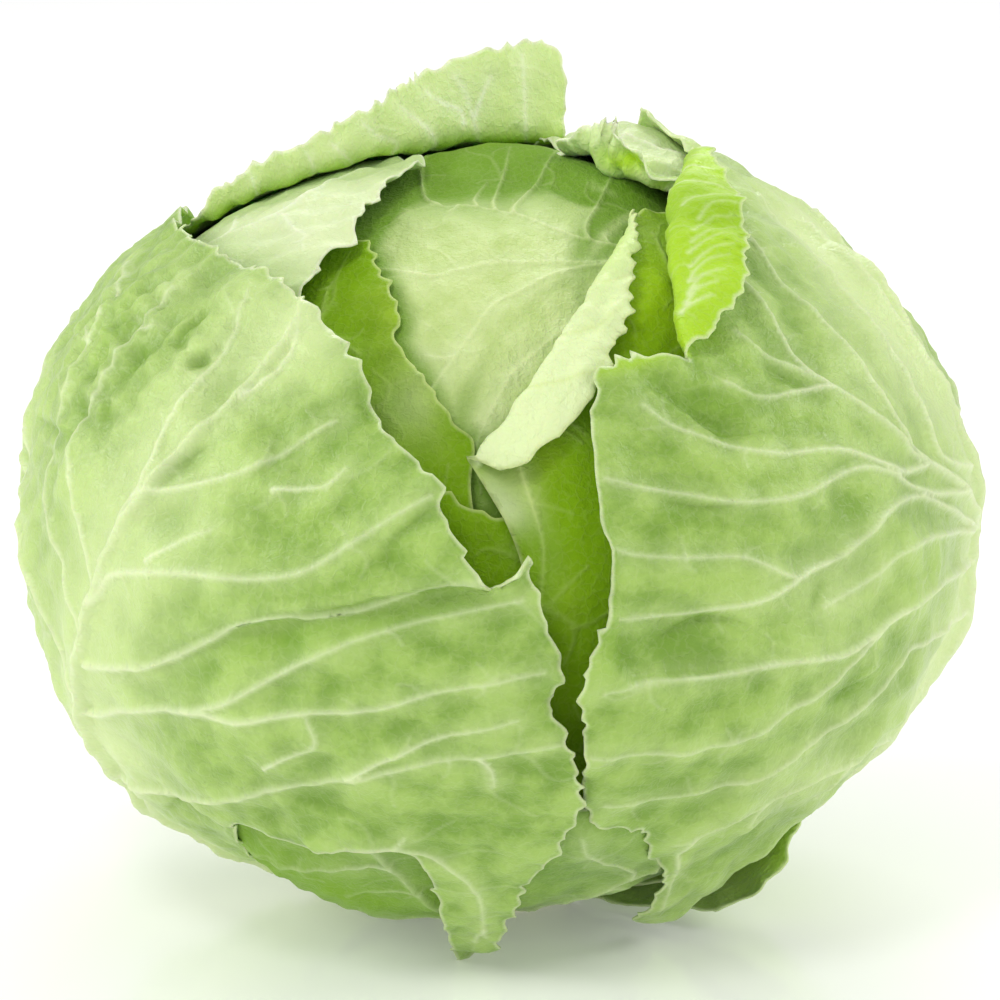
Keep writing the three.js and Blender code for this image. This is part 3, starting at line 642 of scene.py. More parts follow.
class Blade:
    """One leaf's mesh, laid out flat, and what is known at each of its points q."""

    def __init__(self, leaf, outer):
        loop, round_loop = toothed(leaf)
        low, high = loop.min(0), loop.max(0)
        add_side_veins(leaf, low, high, outer)
        net = vein_net(leaf, low, high, outer)
        worked = [line[:, :2] for *_, line in leaf.veins + leaf.creases]
        crests = clipped(worked + [line[1:] for line in net], loop)
        q, self.faces = triangulated(loop, crests, grid_points(leaf, loop, worked, outer))
        self.leaf, self.q = leaf, q
        self.draped, self.rolled = leaf.place(q)
        self.deep = leaf.cover(q, outer)
        self.shows = smooth(0.5 - self.deep / COVERED)
        self.from_margin, nearest = nearest_of(loop, q)
        self.round_margin = round_loop[nearest]
        self.vein_height, self.vein, self.from_large = leaf.large_veins(q)
        self.small_vein, self.small_width = small_veins(net, q)
        self.crease, self.crease_share = leaf.creased(q)
        self.hollows = leaf.patches(q, "dents") + leaf.folded(q)
        self.ripple = leaf.look["ripple"] * sum(self.noises(RIPPLES, 0))
        self.wrinkle = (leaf.look["wrinkle"] + leaf.patches(q, "wrinkles")) * sum(self.noises(WRINKLES, 2))

    def noises(self, kinds, first):
        seed = self.leaf.seed + first
        return [strength * waves(self.q, length, seed + i) for i, (length, strength) in enumerate(kinds)]

    def skins(self):
        """The outer skin's points, then the inner skin's: the draped leaf with all its relief."""
        leaf, look, shows = self.leaf, self.leaf.look, self.shows
        normal = vertex_normals(self.draped, self.faces)
        shoulder = look["shoulder"] * bell(self.from_large, SHOULDER_WIDTH)
        drift = 2 * np.sin(self.round_margin / FRILL_DRIFT)
        wave = 0.6 + np.sin(self.round_margin / FRILL_LENGTH + drift)
        frill = look["frill"] * bell(self.from_margin, FRILL_WIDTH) * wave
        seen = HIDDEN_RIPPLE + (1 - HIDDEN_RIPPLE) * shows
        bend = (shoulder + self.ripple + self.wrinkle + frill) * seen + (self.hollows - self.crease) * shows
        bend += leaf.patches(self.q, "bulges")
        crest = bell(self.small_vein, 0.8 * self.small_width)
        relief = self.vein_height + SMALL_VEIN_HEIGHT * self.small_width * crest * shows
        inward = smooth(self.from_margin / MARGIN_TAPER)
        thick = leaf.thick * (MARGIN_THICKNESS + (1 - MARGIN_THICKNESS) * inward)
        top = above_floor(self.draped + normal * (bend + relief)[:, None])
        bottom = above_floor(self.draped + normal * (bend - thick)[:, None])
        return np.concatenate([top, bottom])

    def readings(self):
        """What the leaf's material reads at each point of both skins."""
        leaf, look, q, rolled = self.leaf, self.leaf.look, self.q, self.rolled
        # random blotches of tone, and painted shading: lighter where ripples and wrinkles rise, darker where
        # they sink
        tone_and_shading = sum(self.noises(BLOTCHES, 4), 0.5 + RIPPLE_SHADING * self.ripple) + WRINKLE_SHADING * self.wrinkle
        # painted shade: greener and darker in shelter near the leaves outside this one, and in the leaf's
        # shade patches
        shade = look["shade"] * smooth(1 + self.deep / look.get("shade_reach", PAINTED_SHADE_REACH))
        shade = shade * (rolled == 0) + leaf.patches(q, "shade_patches")
        fold_glow = look.get("fold_glow", 0) * (rolled > 0) * (1 - smooth(rolled / 1.3))
        glow = leaf.patches(q, "glows") + fold_glow + look.get("flap_glow", 0) * (rolled > 0.3)
        # painted shade in creases, dents and the hollows of folds
        hollow_shade = np.maximum(self.crease_share, 0.7 * smooth(-self.hollows / 2.2)) * self.shows
        from_rib = nearest_of(leaf.veins[0][2][:, :2], q)[0]
        rib_pale = look.get("rib_pale", 0) * bell(from_rib, RIB_PALENESS_WIDTH)
        # the leaf's own paleness by its midrib and on its flaps; its pale patches hold both paler colour and
        # painted light on lit rims and shaded spots
        pale = look["pale"] + leaf.patches(q, "pale_and_lit_patches") + rib_pale + look.get("flap_pale", 0) * (rolled > 0)
        values = {
            "vein": self.vein, "small_vein": self.small_vein, "small_width": self.small_width,
            "from_large": np.minimum(self.from_large, FAR), "from_margin": np.minimum(self.from_margin, FAR),
            "elevation": elevation_of(leaf.towards(q)), "tone_and_shading": tone_and_shading,
            "shade": shade.clip(0, 1), "pale": pale.clip(0, 1),
            "glow": glow.clip(0, 1), "hollow_shade": hollow_shade.clip(0, 1),
            "flat": np.column_stack([q + leaf.seed * PATTERN_GAP, np.zeros(len(q))]),
        }
        values = {key: np.concatenate([value, value]) for key, value in values.items()}
        values["inner_side"] = np.repeat([0.0, 1.0], len(q))
        return values


def leaf_blade(leaf, outer, material):
    blade = Blade(leaf, outer)
    faces = shell(blade.faces, len(blade.q))
    return mesh_object(leaf.name + "_blade", blade.skins(), faces, material, blade.readings())


def above_floor(points):
    """The points with those that would dip into the floor pressed up just clear of it."""
    z = points[:, 2]
    pressed = PRESS * np.log1p(np.exp((np.minimum(z, PRESSED_BELOW) - FLOOR_GAP) / PRESS))
    return np.column_stack([points[:, :2], np.where(z < PRESSED_BELOW, FLOOR_GAP + pressed, z)])


def mesh_object(name, points, faces, material, attributes):
    mesh = bpy.data.meshes.new(name)
    mesh.vertices.add(len(points))
    mesh.vertices.foreach_set("co", (np.asarray(points) * MM).ravel())
    mesh.loops.add(faces.size)
    mesh.loops.foreach_set("vertex_index", faces.ravel().astype(np.int32))
    mesh.polygons.add(len(faces))
    mesh.polygons.foreach_set("loop_start", np.arange(0, faces.size, 3, dtype=np.int32))
    mesh.polygons.foreach_set("use_smooth", np.ones(len(faces), bool))
    mesh.update(calc_edges=True)
    mesh.validate()
    for key, values in attributes.items():
        kind, field = ("FLOAT_VECTOR", "vector") if values.ndim == 2 else ("FLOAT", "value")
        mesh.attributes.new(key, kind, "POINT").data.foreach_set(field, values.ravel().astype(np.float32))
    mesh.materials.append(material)
    obj = bpy.data.objects.new(name, mesh)
    bpy.context.scene.collection.objects.link(obj)
    return obj


# How much each kind of leaf is worked, in millimetres: the rise beside veins, broad and small
# ripples and the wave of the margin; then how much shade is painted on it in shelter and how pale it is.
LOOKS = {
    "outer_leaf": dict(shoulder=0.6, ripple=0.85, wrinkle=0.2, frill=0.5, shade=0.0, pale=0.0),
    "base_leaf": dict(shoulder=0.6, ripple=0.5, wrinkle=0.15, frill=0.5, shade=0.25, pale=0.0),
    "crown_leaf": dict(shoulder=0.5, ripple=0.5, wrinkle=0.15, frill=0.8, shade=0.5, pale=0.2),
    "inner_leaf": dict(shoulder=0.3, ripple=0.35, wrinkle=0.12, frill=0.4, shade=0.95, pale=0.0),
    "heart_leaf": dict(shoulder=0.15, ripple=0.3, wrinkle=0.08, frill=0.2, shade=0.95, pale=0.25),
}

# The leaves, from the heart outward. A place may carry more numbers, which follow it in its list.
#   margin: places, each with the size of the teeth there and a 1 where the margin has a corner
#   veins: height, width and one line or more; the very first line is the midrib
#   rolls: lines along which the margin rolls outward, with the roll's radius and its turn in degrees
#   pleats: a line along which the blade steps up, with the step's height, and how far that reaches
#   bumps: places with their size and height
#   look: what differs from the look of the leaf's kind, and its patches, each a place, length, width,
#     turn and amount: bulges, dents and wrinkles are in millimetres; shade patches (painted shade),
#     pale patches (paler colour and painted light) and glows (painted light coming through) are
#     shares. A crease is its depth, its width on the left and on the right, and its line. A row of
#     folds is its place, reach, spacing, turn and height.
LEAVES = [dict(
    name="heart_leaf", node="heart", slot="heart_leaf", centre=[15, 35], depth=HEART_DEPTH, thick=1,
    margin=[
        [-75, 30], [-60, 0], [-30, -15], [10, -20], [50, -12], [80, 5], [100, 30], [130, 55], [180, 66],
        [-130, 60], [-95, 50],
    ],
    veins=[
        [0.6, 2.4, [[84, 14], [66, 34], [50, 47], [38, 53], [33, 54], [22, 55], [12, 56], [-1, 56],
            [-16, 52]]],
        [0.5, 1.8, [[50, 47], [37, 52], [26, 54], [15, 53], [6, 50], [-1, 47], [-7, 39], [-12, 30]]],
        [0.45, 1.6, [[58, 40], [36, 48], [23, 46], [12, 41], [3, 35], [-2, 27], [-6, 16]]],
        [0.4, 1.6, [[64, 35], [44, 38], [30, 34], [18, 26], [10, 14]]],
        [0.45, 1.6, [[44, 50], [39, 56], [31, 60], [21, 64], [0, 72], [-40, 72]]],
    ],
    look=dict(
        shade_reach=7,
        bulges=[[[180, 80], 55, 17, 0, 6.3], [[95, 77], 30, 14, -20, 3.6], [[80, 68], 16, 10, 0, 3]],
        dents=[[[-6, 60], 30, 5, 12, 0.6], [[30, 45], 26, 5, 40, 0.6]],
        shade_patches=[[[180, 84], 95, 33, 0, 1.8], [[5, 42], 30, 10, 46, -1]],
        glows=[[[180, 72], 90, 11, 0, 0.9]],
    ),
), dict(
    name="inner_left_leaf", slot="inner_leaf", centre=[-25, 20], depth=13.4, thick=1,
    margin=[
        [-55, 58], [-44, 57, 2.2], [-37, 55, 2.4], [-28, 50, 2.2], [-20, 42, 1.4, 1], [-19, 38, 1],
        [-11, 31, 0.8], [-7, 26], [-4, 24], [-4, 17], [-2, 5], [0, -15], [-5, -45], [-15, -75], [-40, -75],
        [-65, -75], [-82, -40], [-82, -10], [-77, 15], [-72, 35], [-64, 50],
    ],
    veins=[[1, 3, [[-40, -70], [-42, -40], [-42, -10], [-40, 20], [-36, 40]]]],
    look=dict(
        shade_patches=[[[-34, 48], 14, 16, 0, 0.4], [[-15, 28], 12, 13, 0, -0.5]],
        pale_and_lit_patches=[[[-15, 28], 12, 13, 0, 0.32]],
    ),
), dict(
    name="inner_front_leaf", slot="inner_leaf", centre=[5, -15], depth=11.4, thick=1,
    margin=[
        [-18, 17], [-8, 16, 1.2], [-3, 14, 1.2], [2, 13], [12, 14], [25, 16], [40, 12], [50, 0], [50, -25],
        [48, -50], [42, -76], [20, -76], [-2, -76], [-24, -76], [-36, -50], [-40, -20], [-38, 5], [-28, 16],
    ],
    veins=[[1, 3, [[8, -72], [8, -45], [6, -15], [4, 8]]]],
), dict(
    name="inner_right_leaf", slot="inner_leaf", centre=[25, 20], depth=9.4, thick=1,
    margin=[
        [47, 61, 1, 1], [54, 61, 1], [62, 58, 0, 1], [72, 44], [78, 22], [77, 0], [72, -30], [66, -60],
        [62, -77], [42, -77], [24, -77], [12, -50], [6, -25], [4, -5], [3, 6], [1, 12], [-4, 20, 1.3, 1],
        [-6.5, 25, 1.4], [-5, 31, 1.4], [-2, 37, 1.4], [3, 43, 1.4], [10, 48, 1.4], [20, 52, 1.4],
        [32, 57, 1.3],
    ],
    rolls=[[
        [47, 61, 1.2, 160], [36, 55, 1.8, 168], [25, 48, 2.1, 172], [13, 38, 2.2, 174], [4, 27, 2, 172],
        [-3, 20, 1.2, 165],
    ]],
    veins=[
        [0.8, 2, [[44, -72], [44, -40], [42, -10], [38, 20], [36, 42], [44, 56]]],
        [0.7, 1.3, [[4, 27], [2, 32], [0, 38], [2, 41.5]], [[10, 35], [8, 39], [8, 43], [9, 46.5]],
            [[18, 42], [16, 46], [17, 50]], [[27, 49.5], [24, 51.5], [24, 52.5]]],
    ],
    look=dict(
        flap_pale=1, wrinkles=[[[10, 42], 30, 9, 55, 0.3]], folds=[[[12, 44], 22, 7, 50, 0.45]],
        pale_and_lit_patches=[[[0, 15], 10, 4.5, 120, 0.7]], glows=[[[31, 47], 12, 18, -30, 0.95]],
        shade_patches=[[[26, 38], 8, 10, 0, 0.5], [[0, 15], 10, 4.5, 120, -0.5], [[8, 13], 8, 12, 0, 0.4]],
    ),
), dict(
    name="left_crown_leaf", slot="crown_leaf", centre=[-70, 30], depth=7.4, thick=1,
    margin=[
        [-72, 77, 1.2], [-58, 70, 1.2], [-45, 61, 1.2], [-37, 53, 0, 1], [-40, 47, 1], [-38, 41], [-35, 20],
        [-34, 0], [-40, -30], [-48, -55], [-52, -77], [-72, -77], [-92, -77], [-112, -77], [-126, -50],
        [-134, -15], [-134, 20], [-130, 48], [-118, 66], [-92, 78],
    ],
    veins=[[1.4, 3, [[-82, -72], [-84, -40], [-84, -5], [-80, 30], [-70, 55]]]],
    look=dict(pale=0.75, folds=[[[-58, 55], 20, 12, 60, 0.6]]),
), dict(
    name="right_crown_leaf", slot="crown_leaf", centre=[115, 35], depth=7.4, thick=1,
    margin=[
        [150, 76], [120, 79, 1.5], [67, 78, 1.6, 1], [50, 74, 1.6], [55, 70, 1.6], [61, 66, 1.6],
        [66, 62, 1.2, 1], [70, 50], [80, 30], [86, 5], [90, -25], [94, -55], [98, -77], [118, -77],
        [138, -77], [158, -77], [166, -50], [172, -10], [176, 25], [178, 50], [176, 68],
    ],
    rolls=[[
        [110, 74, 3, 10], [85, 73, 3, 60], [74, 71, 3, 85], [72, 66, 3, 60], [72, 60, 3, 10],
    ]],
    bumps=[[126, 63, 16, 6], [116, 58, 30, 3]],
    veins=[[1.2, 3, [[128, -72], [128, -40], [126, -5], [118, 30], [104, 55]]]],
    look=dict(
        ripple=0.8, wrinkle=0.4, pale=0.65, shade=0.2, folds=[[[64, 69], 20, 6.5, 70, 1.1]],
        glows=[
            [[67, 72.5], 9, 3, 20, 0.6], [[60, 67], 9, 3.5, 20, 0.9], [[82, 70], 10, 5, 0, 0.5],
            [[66, 63], 8, 2.5, 0, 0.8],
        ],
    ),
), dict(
    name="back_crown_leaf", slot="crown_leaf", centre=[180, 30], depth=5.2, thick=1,
    margin=[
        [150, 71, 0, 1], [141, 60], [132, 40], [130, 15], [134, -15], [142, -45], [150, -77], [170, -77],
        [190, -77], [212, -77], [232, -55], [248, -30], [254, 0], [256, 20], [258, 34], [261, 42, 1.2, 1],
        [268, 46, 1.4, 1], [272, 54, 1.4], [277, 65, 1.4], [281, 77.5, 1.4], [264, 86, 1.4],
        [103.5, 87, 1.4], [92, 84, 1.2, 1], [106, 79.5, 1],
    ],
    rolls=[[
        [256, 40, 4, 60], [262, 46, 4, 70], [263, 54, 4.5, 80], [262, 64, 5, 90], [248, 73, 5, 95],
        [206, 76, 5, 95], [172, 75, 5, 95], [149, 71, 5, 95], [138, 66, 5, 95],
    ]],
    bumps=[[190, 0, 45, 2]],
    veins=[
        [2, 3.4, [[190, -72], [191, -40], [190, -5], [190, 30], [192, 58]]],
        [1, 2.2, [[172, 62], [165, 72], [163, 76.5], [146, 82], [114.5, 84.5]]],
        [1.2, 2.8, [[192, 58], [194, 70], [195.5, 77], [204.5, 81], [221.5, 84.5], [238, 85.5]]],
        [0.8, 1.9, [[202, 81], [193.5, 84.5], [182, 86]], [[212, 80], [216, 81.5], [240, 82], [262, 82]]],
        [1, 2.2, [[214, 66], [228, 74], [231.5, 77], [259, 78], [272, 77]]],
        [0.9, 2.1, [[236, 66], [252, 72], [258, 74], [268, 72], [275, 70.5]]],
        [0.8, 1.9, [[250, 62], [260, 67], [265.5, 67], [272.5, 65.5]]],
        [0.7, 1.8, [[256, 56], [264, 61], [269, 62], [273, 61.5]],
            [[256, 48], [262, 52], [266, 53], [270, 53]]],
        [1.1, 1.9, [[191, -52], [200, -44], [212, -37], [226, -33], [240, -31]],
            [[190.5, -30], [200, -18], [213, -8], [228, -2], [244, 2]],
            [[190, -8], [199, 6], [210, 16], [224, 24], [240, 29]]],
        [1, 1.8, [[190, 14], [199, 28], [210, 38], [222, 46], [236, 52]]],
        [0.9, 1.6, [[190.5, 34], [198, 47], [205, 56], [212, 63]]],
        [1.1, 1.9, [[191, -46], [181, -38], [170, -32], [157, -29], [146, -28]],
            [[190.5, -22], [181, -9], [169, 1], [156, 7], [141, 10]]],
        [1, 1.8, [[190, 2], [181, 16], [170, 26], [158, 33], [144, 38]]],
        [0.9, 1.6, [[190, 24], [182, 37], [172, 47], [160, 54]]],
    ],
    look=dict(pale=0.4, fold_glow=1, glows=[[[180, 66], 80, 14, 0, 0.9]]),
), dict(
    name="base_front_leaf", slot="base_leaf", centre=[-8, -48], depth=5.2, thick=1,
    margin=[
        [-78, -40], [-66, -24], [-40, -19], [-12, -22], [4, -26], [12, -27, 0, 1], [22, -22], [42, -20],
        [56, -32], [58, -52], [52, -77], [30, -77], [8, -77], [-14, -77], [-36, -77], [-58, -77],
        [-76, -60],
    ],
    bumps=[[-12, -58, 55, 3], [-42, -49, 26, 3.8], [-28, -54, 20, 2]],
    veins=[
        [1.8, 3, [[-2, -72], [-8, -58], [-16, -44], [-22, -30]]],
        [0.8, 2, [[6, -68], [18, -54], [30, -46], [44, -40]]],
    ],
    look=dict(shade_patches=[[[-36, -46], 44, 16, -8, 1]], folds=[[[-38, -46], 26, 6, 80, 0.35]]),
), dict(
    name="outer_right_leaf", slot="outer_leaf", centre=[65, 5], depth=2.8, thick=1.1,
    margin=[
        [126, 66, 1.4, 1], [112, 64, 1.4], [99, 61, 1.4, 1], [72, 66, 1.6], [46, 66, 1.6], [28, 60, 1.6],
        [20, 53, 1.6], [18, 44, 1.4], [22, 36, 1, 1], [28, 31, 1, 1], [22, 32, 2.2], [14, 31, 1, 1],
        [12, 24], [12, 14], [13, 4], [12, 0, 1.2, 1], [9.5, -5, 1], [10, -12, 1], [11, -22, 1.4],
        [14, -29, 1.2], [21, -30, 1.2, 1], [25, -37, 1], [32, -45, 1], [34, -54, 1], [35, -58, 0.8, 1],
        [46, -61, 0.8, 1], [49, -54, 0.8], [54, -47], [60, -43], [66, -48], [67, -62], [64, -78], [80, -78],
        [96, -78], [112, -78], [130, -60], [148, -36], [160, -12], [165, 12], [160, 36], [148, 53],
    ],
    rolls=[[
        [99, 61, 2, 150], [75, 60, 3, 160], [57, 57, 3.6, 165], [45, 52, 3.8, 165], [37, 46, 3.8, 165],
        [32, 39, 3.4, 165], [28, 31, 2, 150],
    ]],
    pleats=[dict(reach=26, line=[
        [36, -5, 0], [29, -6, 1.6], [22, -6, 2.8], [15, -6, 3.6], [13, 3, 2.4], [12, 14, 1],
    ])],
    bumps=[[46, -60, 26, 9], [24, 31, 7, 2.4], [15, 30, 8, 2.8], [118, 58, 34, 3.5], [128, 67, 12, 7]],
    veins=[
        [3, 4, [[76, -46], [76, -38], [78, -24], [81, -10], [82, 3], [80, 14], [77, 25], [77, 35],
            [86, 44]]],
        [1.6, 2.4, [[82, 0], [76, 5], [70, 8.5], [63, 12.5], [58, 16.5], [53, 21], [49, 24.5], [45.5, 27.5],
            [41.5, 29.5], [37, 34]]],
        [0.9, 1.5, [[49, 24.5], [45.5, 25], [40, 25], [35.5, 25.5], [32, 27.5]]],
        [1.1, 1.7, [[63, 12], [57, 12.5], [49.5, 16], [44, 17.5], [37, 18], [31, 19.5], [25.5, 22],
            [22.5, 23.5], [19, 26]]],
        [1.2, 1.8, [[73, 6.5], [62, 9], [54, 13], [49, 14.5], [43.5, 14], [38.5, 13], [33.5, 13],
            [28.5, 13.5], [23, 15], [18.5, 16], [13, 17.5]],
            [[81, 0], [68, 5.5], [59.5, 9], [52.5, 9], [47, 6.5], [42, 4.5], [37.5, 3.5], [33.5, 5],
            [29.5, 7], [24.5, 7.5], [16, 8.5], [13, 9.5]]],
        [0.9, 1.5, [[42, 4.5], [37.5, 3.5], [32.5, 2], [26.5, 1.5], [20, 1], [14, 1]]],
        [1.1, 1.7, [[55, -3.5], [45.5, -6.5], [35.5, -6], [28, -6.5], [20, -6.5], [12, -7]]],
        [1.2, 1.9, [[81, -4], [64.5, -2.5], [55, -3.5], [48.5, -6.5], [40.5, -11.5], [36, -13.5],
            [31, -15.5], [23.5, -16], [11, -15.5]]],
        [0.9, 1.6, [[80, 0], [71.5, 2], [59, 4], [53, 3.5], [46.5, 1], [41, -0.5]]],
        [1, 1.7, [[80, -10], [66, -9.5], [58, -10], [52.5, -14.5], [44, -18], [36, -22.5], [27.5, -24],
            [14, -24.5]]],
        [0.9, 1.6, [[76, -26], [60, -24], [44.5, -27], [35, -30], [27, -33.5]]],
        [1.1, 1.8, [[79, 8], [68, 12], [67.5, 18.5], [67.5, 23], [66.5, 26.5], [68, 34], [74.5, 44],
            [84, 52]]],
        [1, 1.7, [[68, 10], [64, 12.5], [58.5, 18.5], [57, 24.5], [56, 28.5], [54.5, 38], [57, 47],
            [60, 53]]],
        [0.9, 1.5, [[49, 24.5], [46, 29], [45.5, 34.5], [45, 40], [46, 47]]],
        [0.9, 1.3, [[75, 60], [72, 63], [70, 65]], [[66, 59], [62, 62], [58, 65.5]],
            [[56, 58], [53, 61], [48, 65.5]], [[47, 56], [45, 60], [39, 64.5]],
            [[38, 55], [38, 59], [34, 62.5]], [[32, 54], [33, 57.5], [29, 60.5]],
            [[30, 51], [30, 55.5], [27, 58.5]], [[28.5, 48.5], [27, 53], [25, 56.5]],
            [[28, 46.5], [26, 50.5], [23, 53.5]], [[27, 44.5], [25, 48], [21.5, 50.5]],
            [[26.5, 42], [25, 46], [21.5, 48]], [[26, 40], [24.5, 43.5], [21.5, 45]],
            [[26, 38.5], [24.5, 41.5], [22, 43]], [[26.5, 37], [24, 39.5], [22.5, 40.5]]],
        [1.2, 2, [[82, 2], [92, 11], [104, 19], [118, 25], [134, 28], [150, 29]],
            [[81, -14], [92, -8], [105, -4], [120, -3], [136, -4], [152, -3]]],
        [1.1, 1.9, [[77, 24], [86, 35], [97, 43], [112, 50], [128, 54]],
            [[77, -32], [90, -28], [104, -27], [120, -29], [138, -30]]],
        [0.8, 1.5, [[104, 19], [112, 15], [124, 14], [138, 16], [150, 20]],
            [[97, 43], [108, 41], [122, 42], [138, 42]], [[105, -4], [114, -10], [126, -14], [142, -15]]],
        [0.8, 1.4, [[92, 11], [100, 9], [112, 6], [126, 6], [140, 8]],
            [[104, -27], [112, -22], [124, -20], [136, -21]]],
    ],
    look=dict(
        rib_pale=0.75, flap_glow=0.9, wrinkles=[[[32, 26], 16, 10, 0, 0.25]],
        pale_and_lit_patches=[
            [[84, 38], 26, 26, 0, 0.4], [[70, 24], 18, 22, 0, 0.2], [[76, -16], 24, 24, 0, 0.5],
            [[112, 65], 30, 14, 0, 1], [[48, -26], 22, 14, 0, 0.45], [[43, 1.5], 14, 12, 0, 0.35],
            [[57, 26], 14, 14, 0, 0.3],
        ],
        shade_patches=[
            [[32, 25], 9, 3, 0, 0.35], [[11, 14], 2.5, 34, 0, 0.8], [[28, 48], 16, 24, 0, 0.7],
            [[35, 57], 16, 13, 0, 0.8],
        ],
        glows=[[[21, 32], 16, 2.2, 0, 0.7], [[78, 61], 16, 8, 0, 0.4], [[35, 57], 16, 13, 0, -0.45]],
        creases=[
            [2.4, 4, 0.8, [[20, 28.5], [23, 27], [25, 25.5], [27, 24], [29, 22], [34, 21]]],
            [1.1, 0.6, 1.3, [[20, 14.5], [24.5, 13.5], [29, 13]]],
            [1.6, 0.8, 2.4, [[19, -2], [22.5, 0], [25, 0.5], [29, -0.5]]],
            [1, 0.8, 2.6, [[39, 29.5], [44.5, 26], [48, 23]]],
            [0.9, 1.6, 0.8, [[39, -1], [40.5, 1], [41.5, 2.5]]],
            [1, 0.8, 2, [[42, -13], [47, -12.5], [52, -10]]],
        ],
        dents=[
            [[31, 23.5], 9, 3.5, 0, -1.4], [[33, 22.5], 4, 6, 0, -0.8], [[17, 8], 6, 4, 0, -0.8],
            [[50, -2], 8, 4, 30, -0.7], [[36, -1], 8, 4, 0, -0.7], [[28, -11], 14, 4, 0, -0.8],
            [[60, 28], 5, 14, 10, -0.8], [[30, 8], 10, 4, 0, -0.6], [[44, 14], 9, 3, 10, -0.6],
            [[24, -26], 10, 5, 0, -0.6], [[46, -22], 10, 5, 10, -0.6],
        ],
        folds=[[[92, 30], 34, 10, 60, 0.5], [[60, -22], 26, 12, 25, 0.5], [[84, -20], 30, 10, 70, 0.5]],
    ),
), dict(
    name="outer_left_leaf", slot="outer_leaf", centre=[-55, 0], depth=0, thick=1.1,
    margin=[
        [-86, 43, 1.2, 1], [-65, 43, 1.2], [-48, 42, 1.2], [-36, 40, 1.2], [-27, 36, 1.2],
        [-19, 30, 1.2, 1], [-17, 26, 1.4], [-11, 20, 1.4], [-8, 18, 1.4, 1], [-6, 13, 1.4], [-4, 9],
        [-1, 6, 0, 1], [3, 9, 1.2, 1], [4, 5, 1.4], [6, -1, 1.2], [7, -5, 1, 1], [6, -9, 1.2],
        [8, -14, 1.2], [10, -22, 1.4], [8, -32, 1.4], [4, -40, 1.4], [1, -50, 1.2], [-4, -59, 1],
        [-10, -61, 1, 1], [-10, -50, 1], [-10.5, -40], [-12, -33.5], [-15, -31.5], [-19, -31], [-25, -32.5],
        [-30.5, -33.5], [-36.5, -32], [-41, -31.5], [-46, -37], [-52, -46], [-60, -57], [-68, -67],
        [-74, -78], [-94, -78], [-112, -78], [-122, -55], [-134, -28], [-138, 0], [-134, 22], [-120, 36],
        [-103, 42],
    ],
    pleats=[dict(reach=30, line=[
        [-52, -10, 0], [-43, -7, 0.8], [-37, -4, 1.4], [-29, -1, 2.2], [-21, 2, 3], [-12, 4, 3.8],
        [-3, 6, 4.4], [3, 8, 4.4],
    ])],
    bumps=[[-8, -62, 32, 9.4], [-50, -31, 7, -1.6], [-32, -28, 7, -1.6], [-12, -46, 8, 2]],
    veins=[
        [3.4, 4.2, [[-86, -76], [-82, -58], [-76, -42], [-70, -30], [-63, -18], [-56, -7], [-52, 1],
            [-46, 11], [-40, 19], [-34, 28], [-31, 35]]],
        [1, 1.8, [[-49, 7], [-47, 11.5], [-42, 13], [-35, 15], [-30, 17], [-24.5, 21], [-21, 23.5]]],
        [1.2, 2, [[-53, -2], [-50, 1.5], [-43.5, 3.5], [-35.5, 4.5], [-28, 5], [-22, 6.5], [-16.5, 10],
            [-12, 13], [-8, 15.5]]],
        [1.1, 1.9, [[-56, -10], [-52.5, -9.5], [-41, -6.5], [-35.5, -3.5], [-31, -1], [-26.5, 0.5],
            [-15.5, 2.5], [-9.5, 4.5], [2, 8]]],
        [1.2, 2, [[-62, -18], [-58.5, -17.5], [-49.5, -14.5], [-37, -12], [-32.5, -10], [-26.5, -6.5],
            [-19.5, -2.5], [-13.5, 0], [-6.5, 2], [2.5, 4]]],
        [1, 1.8, [[-40, -12.5], [-32, -12.5], [-27.5, -11.5], [-22.5, -10.5], [-14, -9.5], [-7.5, -7],
            [-2.5, -6], [5, -4.5]]],
        [0.5, 1.2, [[-30, -19], [-27.5, -17.5], [-22.5, -15], [-23, -11]]],
        [1.2, 2, [[-70, -30], [-52, -28.5], [-36.5, -25], [-24.5, -21], [-14.5, -18], [-8, -16],
            [-2.5, -15.5], [7, -14]]],
        [0.7, 1.4, [[-19, -19], [-10.5, -14.5], [-5.5, -12.5], [2, -10.5]]],
        [1.3, 2.2, [[-76, -40], [-65, -32], [-56.5, -29], [-50, -31], [-44, -32.5]]],
        [0.9, 1.6, [[-26, -34], [-18, -31], [-10, -33], [-4, -40], [-3, -52]]],
        [0.5, 1.2, [[-27, 15], [-23, 15.5], [-20.5, 16], [-18.5, 18]], [[-43, 5], [-38, 8], [-34.5, 9.5]]],
        [0.8, 1.5, [[-35, 25], [-31, 29], [-30.5, 34.5], [-33, 39]]],
        [0.8, 1.6, [[-47, 11], [-45.5, 14.5], [-44, 21], [-42.5, 24.5], [-41, 31.5], [-42, 38]],
            [[-53, -2], [-56.5, 6.5], [-60.5, 14], [-61, 20], [-60, 26.5], [-58, 36]],
            [[-56, -8], [-61, 1], [-67.5, 9], [-68, 17.5], [-70, 30]]],
        [1.2, 2, [[-70, -30], [-80, -22], [-93, -15], [-108, -10], [-122, -8], [-134, -7]],
            [[-62, -16], [-70, -5], [-81, 5], [-94, 13], [-108, 18], [-124, 21]]],
        [1.1, 1.9, [[-77, -44], [-88, -39], [-102, -36], [-116, -34], [-128, -32]]],
        [0.8, 1.5, [[-81, 5], [-86, 15], [-94, 24], [-104, 31]],
            [[-93, -15], [-104, -4], [-118, 3], [-132, 6]]],
        [0.8, 1.4, [[-88, -39], [-100, -30], [-114, -24], [-128, -20]]],
    ],
    look=dict(
        rib_pale=0.75, wrinkles=[[[-60, 27], 28, 20, 0, 0.45]],
